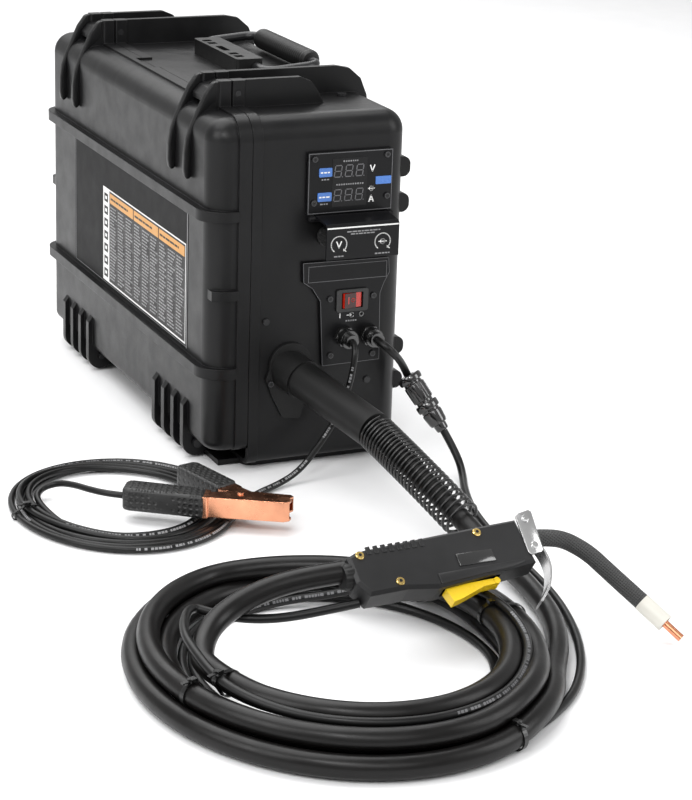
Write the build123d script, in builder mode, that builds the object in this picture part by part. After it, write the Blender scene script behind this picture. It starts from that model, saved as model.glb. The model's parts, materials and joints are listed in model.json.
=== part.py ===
from build123d import *
import os
from math import tan, radians

# Portable wire feeder in a moulded carrying case, with its gun and leads.
# Frame: origin on the floor under the centre of the case, +Z up, front panel towards -Y,
# hinged door towards -X.  All lengths are in millimetres.

# ---- Case ----
HALF_LENGTH = 264.0        # front and rear walls, from the centre
BASE_SIDE = 106.0          # right wall of the base shell
LID_SIDE = -106.0          # outer face of the door
BASE_RIM = -64.0           # open edge of the base shell
LID_RIM = -64.6            # open edge of the door
BASE_FLOOR = 8.0
LID_FLOOR = 24.0
DECK = 366.0               # top face of the case
WALL = 4.0
CORNER = 22.0              # rounding of the upright and top edges
FOOT_CORNER = 10.0
BAND_PROUD = 2.5           # flange round the seam
GUARD_TOP = 394.0
GUARD_THICK = 7.0
OUTER_GUARDS = (-203.0, 203.0)
INNER_GUARDS = (-157.0, 157.0)
RIB_PROUD = 8.0
SEAL_INSET = 1.9

# ---- Door hinge ----
HINGE_X, HINGE_Z = -96.0, 17.0
PIN_R = 3.0
RUNNING_GAP = 0.06
LID_KNUCKLES = (112.0, 141.0, 170.0, 199.0)
BASE_KNUCKLES = (126.5, 155.5, 184.5)
KNUCKLE_WIDTH = 9.0
BASE_KNUCKLE_R = 9.0

# ---- Latches and handle ----
LATCH_X, LATCH_Z = -58.0, 381.0
LATCH_Y = (-180.0, 180.0)
LATCH_WIDTH = 34.0
HANDLE_X, HANDLE_Z = 26.0, 374.0
GRIP_X, GRIP_Z = 86.0, 379.0
HANDLE_ENDS = (-78.0, 108.0)
HANDLE_R = 5.0
GRIP_R = 11.5

# ---- Front panels ----
WALL_FRONT = -HALF_LENGTH
PANEL_FRONT = -268.0
PANEL_THICK = -PANEL_FRONT - HALF_LENGTH
COVER_PIN_Y, COVER_PIN_Z = -271.0, 263.5
KNOB_X = (17.0, 68.0)
KNOB_Z = 244.0
ROCKER = (46.0, -266.0, 175.0)
GLANDS = ((38.0, 138.0), (66.0, 137.0))
GLAND_MOUTH = -292.0
INLET = (-19.0, 106.0)
INLET_SCREW = (-41.0, 94.0)

# ---- Wire drive ----
PLATE_X = (22.0, 25.0)
SPOOL_Y, SPOOL_Z, SPOOL_R = 95.0, 202.0, 148.5
SPOOL_X = (-92.0, 8.0)
HUB_R = 25.0
WIRE_R = 98.0               # wound wire, as a solid of the same weight
FEED_X, FEED_Z = -19.0, 110.0
ROLL_Y, ROLL_R = -170.0, 20.0
ARM_PIVOT = (-203.0, 140.0)

# ---- Cords ----
CABLE_D = 20.0
SENSE_D = 6.5
CONTROL_D = 8.0
RELIEF_R = 19.0
SPRING_R = 20.0
CABLE_START = (14.0, -402.0, 82.0)
CABLE_IN = (CABLE_START, (28, -462, 62), (44, -528, 37), (55, -585, 17), (58, -645, 10.5),
            (46, -712, 10.5), (22, -770, 10.5), (-8, -816, 10.5))
CABLE_OUT = ((-262, -640, 36), (-236, -656, 44), (-206, -676, 58), (-178, -694, 70), (-151, -704, 75))
SENSE_ROUTE = ((38, GLAND_MOUTH, 138), (37, -302, 135), (34, -305, 118), (30, -303, 92), (20, -296, 58),
               (0, -300, 34), (-22, -308, 14), (-46, -314, 4), (-82, -334, 4), (-110, -360, 4))
CONTROL_ROUTE = ((66, GLAND_MOUTH, 137), (68, -306, 136), (82, -308, 130), (97, -287, 113), (102, -289, 96))
TRIGGER_IN = ((130, -322, 43), (140, -336, 20), (137, -356, 6), (120, -394, 4), (102, -450, 4),
              (90, -520, 4), (84, -600, 4), (76, -668, 4), (58, -734, 4), (34, -790, 4),
              (6, -834, 4), (-20, -862, 4))
TRIGGER_OUT = ((-277, -668, 48), (-262, -682, 45), (-240, -696, 42), (-212, -706, 42), (-180, -715, 47),
               (-146, -724, 54))
COIL_CENTRE = (-166.0, -736.0)
SENSE_COIL_CENTRE = (-218.0, -312.0)

# ---- Gun and clamp frames ----
GUN = Plane(origin=(-143, -704, 77), x_dir=(1, 0.036, 0), z_dir=(0.0217, -0.602, 0.799))
GUN_HALF = 13.0
TRIGGER_PIVOT = (122.0, -35.5)
CLAMP_PIVOT = (-125.0, -402.0)
CLAMP_ALONG = (0.866, -0.5, 0)

os.makedirs("parts", exist_ok=True)


def front(y):
    """Plane facing the front, at a given y: local x and y are X and Z."""
    return Plane.XZ.offset(-y)


def side(x):
    """Plane facing right, at a given x: local x and y are Y and Z."""
    return Plane.YZ.offset(x)


def level(z):
    """Horizontal plane at a given height."""
    return Plane.XY.offset(z)


def block(x, y, z, mode=Mode.ADD, corner=0.0):
    """Box that fills three ranges, with rounded upright edges if asked."""
    with BuildSketch(level(z[0])) as area:
        with Locations(((x[0] + x[1]) / 2, (y[0] + y[1]) / 2)):
            Rectangle(x[1] - x[0], y[1] - y[0])
        if corner:
            fillet(area.vertices(), corner)
    extrude(area.sketch, amount=z[1] - z[0], mode=mode)


def panel(x, z, back, depth, corner=0.0, mode=Mode.ADD):
    """Flat piece on the front wall, from y = back towards the front."""
    with BuildSketch(front(back)) as area:
        with Locations(((x[0] + x[1]) / 2, (z[0] + z[1]) / 2)):
            Rectangle(x[1] - x[0], z[1] - z[0])
        if corner:
            fillet(area.vertices(), corner)
    extrude(area.sketch, amount=depth, mode=mode)


def plate(plane, depth, points, corner=0.0, mode=Mode.ADD, both=False):
    """Straight-sided outline on a plane, extruded along its normal."""
    with BuildSketch(plane) as area:
        with BuildLine():
            Polyline(*points, close=True)
        make_face()
        if corner:
            fillet(area.vertices(), corner)
    extrude(area.sketch, amount=depth, both=both, mode=mode)


def rod(start, end, radius, mode=Mode.ADD):
    """Round bar between two points."""
    way = Vector(*end) - Vector(*start)
    with BuildSketch(Plane(origin=start, z_dir=way)) as section:
        Circle(radius)
    extrude(section.sketch, amount=way.length, mode=mode)


def tube(start, end, outer, inner):
    """Round tube between two points."""
    way = Vector(*end) - Vector(*start)
    with BuildSketch(Plane(origin=start, z_dir=way)) as section:
        Circle(outer)
        Circle(inner, mode=Mode.SUBTRACT)
    extrude(section.sketch, amount=way.length)


def rod_x(x, y, z, radius, mode=Mode.ADD):
    rod((x[0], y, z), (x[1], y, z), radius, mode)


def rod_y(y, x, z, radius, mode=Mode.ADD):
    rod((x, y[0], z), (x, y[1], z), radius, mode)


def route_radii(points):
    """Largest arc at each corner of a route: 0.45 of the shorter run over the half turn's tangent."""
    radii = []
    for before, here, after in zip(points, points[1:], points[2:]):
        arriving = Vector(*here) - Vector(*before)
        leaving = Vector(*after) - Vector(*here)
        half_turn = radians(arriving.get_angle(leaving) / 2)
        radii.append(0.45 * min(arriving.length, leaving.length) / tan(half_turn))
    return radii


def along(points, outer, inner=0.0):
    """Bar or tube that follows straight runs joined by tangent arcs."""
    radii = route_radii(points)
    with BuildLine() as route:
        FilletPolyline(*points, radius=radii)
    with BuildSketch(Plane(origin=points[0], z_dir=Vector(*points[1]) - Vector(*points[0]))) as section:
        Circle(outer)
        if inner:
            Circle(inner, mode=Mode.SUBTRACT)
    sweep(section.sketch, path=route.wires()[0])
    print("route", round(route.wires()[0].length, 1), "mm, radii", [round(r, 1) for r in radii])


def save(part, name):
    part.label = name
    export_step(part, "parts/" + name + ".step")


def rounded_half(open_x, outer_x, half_length, bottom, top, corner, foot):
    """Half of the case as a solid, with every edge rounded but those of its open face."""
    with BuildPart() as half:
        block((min(open_x, outer_x), max(open_x, outer_x)), (-half_length, half_length), (bottom, top))
        upper = half.edges().filter_by(lambda e: abs(e.center().X - open_x) > 1 and e.center().Z > bottom + 1)
        fillet(upper, corner)
        closed = half.edges().filter_by(lambda e: abs(e.center().X - open_x) > 1)
        fillet(closed.group_by(Axis.Z)[0], foot)
    return half.part


def seam_band(start, width, bottom, inset=-BAND_PROUD):
    """Flat slab in the seam's outline, grown by -inset beyond the case."""
    with BuildSketch(side(start)) as outline:
        with Locations((0, (bottom + DECK - inset) / 2)):
            Rectangle(2 * (HALF_LENGTH - inset), DECK - inset - bottom)
        fillet(outline.vertices().group_by(Axis.Y)[-1], CORNER - inset)
        fillet(outline.vertices().group_by(Axis.Y)[0], FOOT_CORNER)
    return outline.sketch, width


def guard(y, points):
    """Upright guard plate across the top of the case."""
    plate(front(y + GUARD_THICK / 2), GUARD_THICK, points)


# ================= Case =================
base_cavity = rounded_half(BASE_RIM - 1, BASE_SIDE - WALL, HALF_LENGTH - WALL,
                           BASE_FLOOR + WALL, DECK - WALL, CORNER - WALL, FOOT_CORNER - WALL)
lid_cavity = rounded_half(LID_RIM + 1, LID_SIDE + WALL, HALF_LENGTH - WALL,
                          LID_FLOOR + WALL, DECK - WALL, CORNER - WALL, FOOT_CORNER - WALL)
base_body = rounded_half(BASE_RIM, BASE_SIDE, HALF_LENGTH, BASE_FLOOR, DECK, CORNER, FOOT_CORNER)
lid_body = rounded_half(LID_RIM, LID_SIDE, HALF_LENGTH, LID_FLOOR, DECK, CORNER, FOOT_CORNER)

SLIDES = ((295, 316), (258, 278), (106, 125), (69, 88))
PILLAR_X = (BASE_RIM, -50.0)

with BuildPart() as base_shell:
    add(base_body)
    band, band_width = seam_band(BASE_RIM, 11, BASE_FLOOR)
    extrude(band, amount=band_width)
    for y in INNER_GUARDS:
        guard(y, ((BASE_RIM, 350), (BASE_RIM, GUARD_TOP), (69, GUARD_TOP), (84, 391), (97, 380), (104.5, 362),
                  (105.5, 350)))
        block(PILLAR_X, (y - 6, y + 6), (350, GUARD_TOP), corner=2)
    for y in OUTER_GUARDS:
        guard(y, ((BASE_RIM, 350), (BASE_RIM, GUARD_TOP), (10, GUARD_TOP), (22, 389), (30, 378), (36, 366),
                  (36, 350)))
        block(PILLAR_X, (y - 6, y + 6), (350, GUARD_TOP), corner=2)
    for low, high in SLIDES:
        with BuildSketch(front(-250)) as slide:
            with Locations((BASE_SIDE - 1, (low + high) / 2)):
                RectangleRounded(20, high - low, 8)
        extrude(slide.sketch, amount=-500)
    add(base_cavity, mode=Mode.SUBTRACT)
    # notch in the seam's flange, above the deck
    block((BASE_RIM - 1, -52), (5, 60), (DECK, DECK + 5), mode=Mode.SUBTRACT)
    # latch pin holes through the guards
    for y in LATCH_Y:
        rod_y((y - 30, y + 30), LATCH_X, LATCH_Z, PIN_R, Mode.SUBTRACT)
    # front wall: wire outlet, knob shafts, rocker, slot by the seam
    rod_y((WALL_FRONT - 3, WALL_FRONT + 8), INLET[0], INLET[1], 12, Mode.SUBTRACT)
    for x in KNOB_X:
        rod_y((WALL_FRONT - 3, WALL_FRONT + 8), x, KNOB_Z, 3.05, Mode.SUBTRACT)
    panel((ROCKER[0] - 12, ROCKER[0] + 12), (166.5, 184), WALL_FRONT + 8, 12, mode=Mode.SUBTRACT)
    # rear wall: weld input and gas input
    rod_y((HALF_LENGTH - 8, HALF_LENGTH + 3), 60, 100, 16, Mode.SUBTRACT)
    rod_y((HALF_LENGTH - 8, HALF_LENGTH + 3), 60, 240, 7.06, Mode.SUBTRACT)
save(base_shell.part, "base_shell")

with BuildPart() as lid_seal:
    ring_outer, seal_depth = seam_band(LID_RIM - SEAL_INSET, SEAL_INSET + 0.3, LID_FLOOR + 0.7, 0.7)
    extrude(ring_outer, amount=seal_depth)
    ring_inner, seal_depth = seam_band(LID_RIM - SEAL_INSET, SEAL_INSET + 0.3, LID_FLOOR + 3, 3)
    extrude(ring_inner, amount=seal_depth, mode=Mode.SUBTRACT)
save(lid_seal.part, "lid_seal")

with BuildPart() as lid_shell:
    add(lid_body)
    band, band_width = seam_band(-78, LID_RIM + 78, LID_FLOOR)
    extrude(band, amount=band_width)
    # long ribs that wrap round the corners, and a corner rib between them
    for low, high, corners_only in ((265, 276, False), (103, 114, False), (185, 195, True)):
        with BuildSketch(level(low)) as rib:
            with Locations((LID_SIDE - RIB_PROUD + 100, 0)):
                RectangleRounded(200, 2 * HALF_LENGTH + 10, CORNER + 6)
            with Locations((LID_SIDE + 28 + 100, 0)):
                Rectangle(200, 3 * HALF_LENGTH, mode=Mode.SUBTRACT)
            if corners_only:
                Rectangle(500, 2 * HALF_LENGTH - 2 * CORNER, mode=Mode.SUBTRACT)
                with Locations((LID_SIDE - 98, 0)):
                    Rectangle(200, 3 * HALF_LENGTH, mode=Mode.SUBTRACT)
        extrude(rib.sketch, amount=high - low)
    for y in INNER_GUARDS + OUTER_GUARDS:
        guard(y, ((LID_RIM, 350), (LID_RIM, GUARD_TOP), (-77, GUARD_TOP), (-83, 391), (-91, 381), (-105, 350),
                  (-105, 334), (-100, 334), (-84, 350)))
        block((-78, LID_RIM), (y - 6, y + 6), (350, GUARD_TOP), corner=2)
    # hinge knuckles under the outer edge
    for y in LID_KNUCKLES + tuple(-y for y in LID_KNUCKLES):
        plate(front(y + KNUCKLE_WIDTH / 2), KNUCKLE_WIDTH,
              ((-105, 66), (-111, 58), (-111, HINGE_Z), (-81, HINGE_Z), (-81, 34), (-98, 36)))
        rod_y((y - KNUCKLE_WIDTH / 2, y + KNUCKLE_WIDTH / 2), HINGE_X, HINGE_Z, 15)
    add(lid_cavity, mode=Mode.SUBTRACT)
    for y in BASE_KNUCKLES + tuple(-y for y in BASE_KNUCKLES):
        rod_y((y - 9.5, y + 9.5), HINGE_X, HINGE_Z, BASE_KNUCKLE_R + 0.6, Mode.SUBTRACT)
    block((-72, LID_RIM + 1), (5, 60), (DECK, DECK + 5), mode=Mode.SUBTRACT)
    rod_y((-HALF_LENGTH, HALF_LENGTH), HINGE_X, HINGE_Z, PIN_R + RUNNING_GAP, Mode.SUBTRACT)
    add(lid_seal.part, mode=Mode.SUBTRACT)
save(lid_shell.part, "lid_shell")

with BuildPart() as bottom_skid:
    block((-60, 92), (-246, 246), (0, BASE_FLOOR), corner=12)
    for y in BASE_KNUCKLES + tuple(-y for y in BASE_KNUCKLES):
        block((HINGE_X, -70), (y - 9, y + 9), (3, 13))
        block((-72, -56), (y - 9, y + 9), (0, 6))
        rod_y((y - 9, y + 9), HINGE_X, HINGE_Z, BASE_KNUCKLE_R)
    block((BASE_RIM - 20, -56), (-235, -95), (0, 6))
    rod_y((-HALF_LENGTH, HALF_LENGTH), HINGE_X, HINGE_Z, PIN_R, Mode.SUBTRACT)
save(bottom_skid.part, "bottom_skid")

with BuildPart() as lid_hinge_pins:
    for sign in (-1, 1):
        rod_y((sign * 104, sign * 208), HINGE_X, HINGE_Z, PIN_R)
        rod_y((sign * 205, sign * 209), HINGE_X, HINGE_Z, 5)
save(lid_hinge_pins.part, "lid_hinge_pins")


def latch(y):
    """Draw latch: barrel on its pin, and a lever that lies over the door's edge."""
    plate(front(y + LATCH_WIDTH / 2), LATCH_WIDTH,
          ((LATCH_X, 374.5), (LATCH_X, 388), (-66, 388), (-82, 384), (-89, 376), (-89, 371), (-85, 371),
           (-80, 376), (-68, 377)))
    rod_y((y - LATCH_WIDTH / 2, y + LATCH_WIDTH / 2), LATCH_X, LATCH_Z, 7)
    block((-80, -68), (y - 9, y + 9), (385, 400), mode=Mode.SUBTRACT)
    rod_y((y - 30, y + 30), LATCH_X, LATCH_Z, PIN_R + RUNNING_GAP, Mode.SUBTRACT)


with BuildPart() as front_latch:
    latch(LATCH_Y[0])
save(front_latch.part, "front_latch")

with BuildPart() as rear_latch:
    latch(LATCH_Y[1])
save(rear_latch.part, "rear_latch")

with BuildPart() as latch_pins:
    for y in LATCH_Y:
        rod_y((y - 29, y + 29), LATCH_X, LATCH_Z, PIN_R)
save(latch_pins.part, "latch_pins")

# ================= Handle =================
with BuildPart() as handle_bracket:
    block((4, 34), (-48, 84), (DECK, 383), corner=4)
    for y in (-30, -14, 50, 66):
        block((8, 18), (y - 5, y + 5), (379, 384), mode=Mode.SUBTRACT, corner=1.5)
    block((9, 17), (4, 32), (378, 384), mode=Mode.SUBTRACT, corner=1.5)
    rod_y((-60, 96), HANDLE_X, HANDLE_Z, HANDLE_R + RUNNING_GAP, Mode.SUBTRACT)
save(handle_bracket.part, "handle_bracket")

with BuildPart() as carry_handle:
    middle = (HANDLE_ENDS[0] + HANDLE_ENDS[1]) / 2
    with BuildLine() as loop:
        FilletPolyline((HANDLE_X, middle, HANDLE_Z), (HANDLE_X, HANDLE_ENDS[0], HANDLE_Z),
                       (GRIP_X, HANDLE_ENDS[0], GRIP_Z), (GRIP_X, middle, GRIP_Z), radius=14)
    with BuildSketch(Plane(origin=(HANDLE_X, middle, HANDLE_Z), z_dir=(0, -1, 0))) as wire_section:
        Circle(HANDLE_R)
    sweep(wire_section.sketch, path=loop.wires()[0])
    mirror(about=Plane.XZ.offset(-middle))
save(carry_handle.part, "carry_handle")

with BuildPart() as handle_grip:
    tube((GRIP_X, HANDLE_ENDS[0] + 22, GRIP_Z), (GRIP_X, HANDLE_ENDS[1] - 22, GRIP_Z), GRIP_R, HANDLE_R)
    fillet(handle_grip.edges().filter_by(GeomType.CIRCLE).sort_by(SortBy.RADIUS)[-2:], 4)
save(handle_grip.part, "handle_grip")

# ================= Meter panel =================
METER_X, METER_Z = (-6.0, 87.0), (267.0, 330.0)
WINDOW_X, WINDOW_Z = (20.5, 58.5), (273.5, 323.0)
METER_SCREWS = ((1, 323.5), (80, 324), (1, 279), (81, 281.5))
SWITCH_SCREWS = ((22, 178), (70, 178), (24, 118), (71, 116))
LUG_X = ((-5.0, 1.5), (81.5, 86.5))
COVER_X = (2.0, 81.0)

with BuildPart() as meter_panel:
    panel(METER_X, METER_Z, WALL_FRONT, PANEL_THICK, corner=2)
    panel(WINDOW_X, WINDOW_Z, PANEL_FRONT + 1.5, 3, mode=Mode.SUBTRACT)
    for x in LUG_X:
        panel(x, (COVER_PIN_Z - 3, METER_Z[0]), WALL_FRONT, PANEL_THICK)
        block(x, (COVER_PIN_Y, WALL_FRONT), (COVER_PIN_Z - 3, COVER_PIN_Z + 3))
        rod_x(x, COVER_PIN_Y, COVER_PIN_Z, 3)
    rod_x((-10, 90), COVER_PIN_Y, COVER_PIN_Z, 1.5, Mode.SUBTRACT)
save(meter_panel.part, "meter_panel")

with BuildPart() as display_window:
    panel(WINDOW_X, WINDOW_Z, PANEL_FRONT + 1.5, 1.7)
save(display_window.part, "display_window")

with BuildPart() as indicator_lights:
    for x, z in (((6, 20), (305, 314)), ((5, 20), (280, 289)), ((68, 85), (294, 302))):
        panel(x, z, PANEL_FRONT, 0.8, corner=1)
save(indicator_lights.part, "indicator_lights")

with BuildPart() as panel_screws:
    for x, z in METER_SCREWS + SWITCH_SCREWS + (INLET_SCREW,):
        rod_y((PANEL_FRONT, PANEL_FRONT - 1.8), x, z, 3.2)
    rod_y((WALL_FRONT, WALL_FRONT - 2), -46, 159, 3.5)
    rod_y((WALL_FRONT, WALL_FRONT - 2), 67.5, 87, 3.5)
    rod((68, -178, DECK), (68, -178, DECK + 3), 5)
save(panel_screws.part, "panel_screws")

with BuildPart() as knob_cover:
    plate(side(COVER_X[0]), COVER_X[1] - COVER_X[0], ((-271, 266.5), (-298, 264),
                                                        (-300.5, 261.5), (-300.5, 228), (-298.5, 228),
                                                        (-298.5, 260.5), (-297, 262), (-271, 264.3)))
    plate(side(COVER_X[1] - 1.8), 1.8, ((-273, 265), (-298, 263), (-299, 228), (-290, 229), (-277, 247)))
    rod_x(COVER_X, COVER_PIN_Y, COVER_PIN_Z, 3)
    rod_x((0, 83), COVER_PIN_Y, COVER_PIN_Z, 1.5 + RUNNING_GAP, Mode.SUBTRACT)
save(knob_cover.part, "knob_cover")

with BuildPart() as cover_hinge_pin:
    rod_x((LUG_X[0][0], LUG_X[1][1]), COVER_PIN_Y, COVER_PIN_Z, 1.5)
save(cover_hinge_pin.part, "cover_hinge_pin")


def knob(x):
    """Pointer knob with a skirt, a ribbed grip, a pointer ridge and a shaft."""
    rod_y((-266, -270), x, KNOB_Z, 10.5)
    rod_y((-270, -287), x, KNOB_Z, 8.5)
    with BuildSketch(front(-270)) as ribs:
        with Locations((x, KNOB_Z)):
            with PolarLocations(8.5, 12):
                Circle(1.1)
    extrude(ribs.sketch, amount=15)
    panel((x - 1, x + 1), (KNOB_Z, KNOB_Z + 8), -287, 2)
    rod_y((-266, -250), x, KNOB_Z, 3)


with BuildPart() as voltage_knob:
    knob(KNOB_X[0])
save(voltage_knob.part, "voltage_knob")

with BuildPart() as wire_speed_knob:
    knob(KNOB_X[1])
save(wire_speed_knob.part, "wire_speed_knob")

# ================= Switch plate =================
with BuildPart() as switch_plate:
    plate(front(WALL_FRONT), PANEL_THICK,
          ((-9, 218), (-8, 197), (2, 190), (11, 176), (15, 107), (79.5, 108.5), (78, 179.5), (82, 190),
           (88, 201), (86.5, 217)), corner=1.5)
    panel((ROCKER[0] - 12, ROCKER[0] + 12), (166.5, 184), WALL_FRONT + 1, 8, mode=Mode.SUBTRACT)
save(switch_plate.part, "switch_plate")

with BuildPart() as rocker_bezel:
    panel((28.5, 63.5), (163.5, 187), PANEL_FRONT, 2.5, corner=2.5)
    panel((ROCKER[0] - 11.8, ROCKER[0] + 11.8), (167, 183.5), PANEL_FRONT + 1, 8, mode=Mode.SUBTRACT)
save(rocker_bezel.part, "rocker_bezel")

with BuildPart() as power_rocker:
    plate(Plane(origin=(ROCKER[0], ROCKER[1], 167.5)), 15.5,
          ((-10.4, 3), (-10.2, -3.4), (-9.4, -6.6), (0, -4.6), (10.6, -2.6), (10.6, 3), (4, 7), (-4, 7)))
    rod((ROCKER[0], ROCKER[1], 166.8), (ROCKER[0], ROCKER[1], 183.7), 1.5)
save(power_rocker.part, "power_rocker")


def gland(x, z, bore):
    """Cable gland: hexagon foot, domed nut and mouth."""
    with BuildSketch(front(PANEL_FRONT)) as foot:
        with Locations((x, z)):
            RegularPolygon(11, 6)
    extrude(foot.sketch, amount=7)
    rod_y((PANEL_FRONT - 7, PANEL_FRONT - 17), x, z, 9.5)
    rod_y((PANEL_FRONT - 17, GLAND_MOUTH), x, z, bore + 3.5)


with BuildPart() as sense_gland:
    gland(*GLANDS[0], SENSE_D / 2)
save(sense_gland.part, "sense_gland")

with BuildPart() as control_gland:
    gland(*GLANDS[1], CONTROL_D / 2)
save(control_gland.part, "control_gland")

with BuildPart() as gun_inlet:
    rod_y((WALL_FRONT, PANEL_FRONT), -19, 112, 23)
    plate(front(WALL_FRONT), PANEL_THICK, ((-41, 112), (-46, 98), (-38, 78), (-27, 56), (-8, 54), (3, 90),
                                           (3, 112)), corner=4)
save(gun_inlet.part, "gun_inlet")

# ================= Inside the case =================
with BuildPart() as chassis_plate:
    block(PLATE_X, (-235, 250), (BASE_FLOOR + WALL, 356))
    with BuildSketch(side(PLATE_X[0])) as windows:
        with Locations((-60, 320), (-60, 60), (-190, 300)):
            RectangleRounded(60, 40, 8)
    extrude(windows.sketch, amount=3, mode=Mode.SUBTRACT)
save(chassis_plate.part, "chassis_plate")

with BuildPart() as spool_hub:
    rod_x((SPOOL_X[1] + 0.3, PLATE_X[0]), SPOOL_Y, SPOOL_Z, 40)
    rod_x((SPOOL_X[0] - 1, PLATE_X[0]), SPOOL_Y, SPOOL_Z, HUB_R)
save(spool_hub.part, "spool_hub")

with BuildPart() as wire_spool:
    for x in (SPOOL_X[0], SPOOL_X[1] - 4):
        tube((x, SPOOL_Y, SPOOL_Z), (x + 4, SPOOL_Y, SPOOL_Z), SPOOL_R, HUB_R + RUNNING_GAP)
    tube((SPOOL_X[0], SPOOL_Y, SPOOL_Z), (SPOOL_X[1], SPOOL_Y, SPOOL_Z), 52, 48)
    tube((SPOOL_X[0], SPOOL_Y, SPOOL_Z), (SPOOL_X[1], SPOOL_Y, SPOOL_Z), 30, HUB_R + RUNNING_GAP)
    with BuildSketch(Plane(origin=(SPOOL_X[0] - 1, SPOOL_Y, SPOOL_Z), x_dir=(0, 1, 0), z_dir=(1, 0, 0))) as holes:
        with PolarLocations(39, 8):
            Circle(6)
        with PolarLocations(103, 6):
            Circle(20)
    extrude(holes.sketch, amount=102, mode=Mode.SUBTRACT)
save(wire_spool.part, "wire_spool")

with BuildPart() as wire_pack:
    tube((SPOOL_X[0] + 4, SPOOL_Y, SPOOL_Z), (SPOOL_X[1] - 4, SPOOL_Y, SPOOL_Z), WIRE_R, 52)
save(wire_pack.part, "wire_pack")

with BuildPart() as spool_nut:
    rod_x((SPOOL_X[0] - 7, SPOOL_X[0] - 1), SPOOL_Y, SPOOL_Z, 28)
    with BuildSketch(Plane(origin=(SPOOL_X[0] - 7, SPOOL_Y, SPOOL_Z), x_dir=(0, 1, 0), z_dir=(1, 0, 0))) as wings:
        with PolarLocations(0, 3):
            Rectangle(66, 12)
    extrude(wings.sketch, amount=5)
save(spool_nut.part, "spool_nut")

with BuildPart() as drive_housing:
    block((-3, PLATE_X[0]), (-215, -125), (66, 152), corner=3)
    rod_x((-10, -3), ARM_PIVOT[0], ARM_PIVOT[1], 3)
    rod_x((-4, PLATE_X[0] + 1), ROLL_Y, FEED_Z - ROLL_R - 0.1, 5.05, Mode.SUBTRACT)
save(drive_housing.part, "drive_housing")

with BuildPart() as drive_motor:
    rod_x((PLATE_X[1], 60), ROLL_Y, FEED_Z - ROLL_R, 34)
    rod_x((60, 99), ROLL_Y, FEED_Z - ROLL_R, 30)
save(drive_motor.part, "drive_motor")


def drive_roll(z, bore):
    """Grooved roll: two rims with a narrow waist between them."""
    rod_x((FEED_X - 8, FEED_X + 8), ROLL_Y, z, ROLL_R)
    with BuildSketch(side(FEED_X - 1)) as groove:
        with Locations((ROLL_Y, z)):
            Circle(ROLL_R + 1)
            Circle(ROLL_R - 1, mode=Mode.SUBTRACT)
    extrude(groove.sketch, amount=2, mode=Mode.SUBTRACT)
    if bore:
        rod_x((FEED_X - 9, FEED_X + 9), ROLL_Y, z, bore, Mode.SUBTRACT)


with BuildPart() as lower_drive_roll:
    drive_roll(FEED_Z - ROLL_R - 0.1, 0)
    rod_x((FEED_X + 8, PLATE_X[0]), ROLL_Y, FEED_Z - ROLL_R - 0.1, 5)
save(lower_drive_roll.part, "lower_drive_roll")

with BuildPart() as upper_drive_roll:
    drive_roll(FEED_Z + ROLL_R + 0.1, 4.05)
save(upper_drive_roll.part, "upper_drive_roll")

with BuildPart() as pressure_arm:
    plate(side(-8.5), 5, ((-213, 132), (-213, 148), (-175, 158), (-124, 158), (-124, 147), (-150, 145),
                          (-158, 122), (-180, 122), (-188, 134)), corner=2)
    rod_x((FEED_X - 8, -8.5), ROLL_Y, FEED_Z + ROLL_R + 0.1, 4)
    rod_x((FEED_X - 10, FEED_X - 8), ROLL_Y, FEED_Z + ROLL_R + 0.1, 7)
    block((-12, -3.5), (-146, -130), (150, 158))
    rod_x((-12, 0), ARM_PIVOT[0], ARM_PIVOT[1], 3.05, Mode.SUBTRACT)
    rod((-7.5, -138, 140), (-7.5, -138, 170), 3.05, Mode.SUBTRACT)
save(pressure_arm.part, "pressure_arm")

with BuildPart() as tension_knob:
    rod((-7.5, -138, 149), (-7.5, -138, 160), 3)
    rod((-7.5, -138, 158.3), (-7.5, -138, 180), 8)
    with BuildSketch(level(162)) as tension_ribs:
        with Locations((-7.5, -138)):
            with PolarLocations(8, 10):
                Circle(1.1)
    extrude(tension_ribs.sketch, amount=16)
save(tension_knob.part, "tension_knob")

with BuildPart() as wire_guides:
    for start, end, foot in ((-145, -104, (-136, -126)), (WALL_FRONT, -192, (-214, -204))):
        rod_y((start, end), FEED_X, FEED_Z, 4)
        block((FEED_X, -3), foot, (FEED_Z - 4, FEED_Z + 4))
        rod_y((start - 1, end + 1), FEED_X, FEED_Z, 1, Mode.SUBTRACT)
save(wire_guides.part, "wire_guides")

with BuildPart() as control_board:
    block((30, 96), (-242, -240.4), (196, 334))
    block((34, 60), (-256, -242), (278, 300))
    block((66, 90), (-250, -242), (302, 330))
    block((36, 52), (-250, -242), (204, 220))
save(control_board.part, "control_board")

with BuildPart() as contactor:
    block((PLATE_X[1], 88), (150, 215), (BASE_FLOOR + WALL, 84), corner=3)
    for y in (165, 200):
        rod((50, y, 84), (50, y, 98), 6)
save(contactor.part, "contactor")

with BuildPart() as gas_valve:
    block((PLATE_X[1], 72), (190, 230), (222, 258), corner=3)
    rod((56, 210, 258), (56, 210, 290), 15)
save(gas_valve.part, "gas_valve")

with BuildPart() as weld_connector:
    rod_y((230, HALF_LENGTH), 60, 100, 16)
    rod_y((HALF_LENGTH, HALF_LENGTH + BAND_PROUD), 60, 100, 20)
    rod_y((244, HALF_LENGTH + 4), 60, 100, 6.6, Mode.SUBTRACT)
save(weld_connector.part, "weld_connector")

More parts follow.
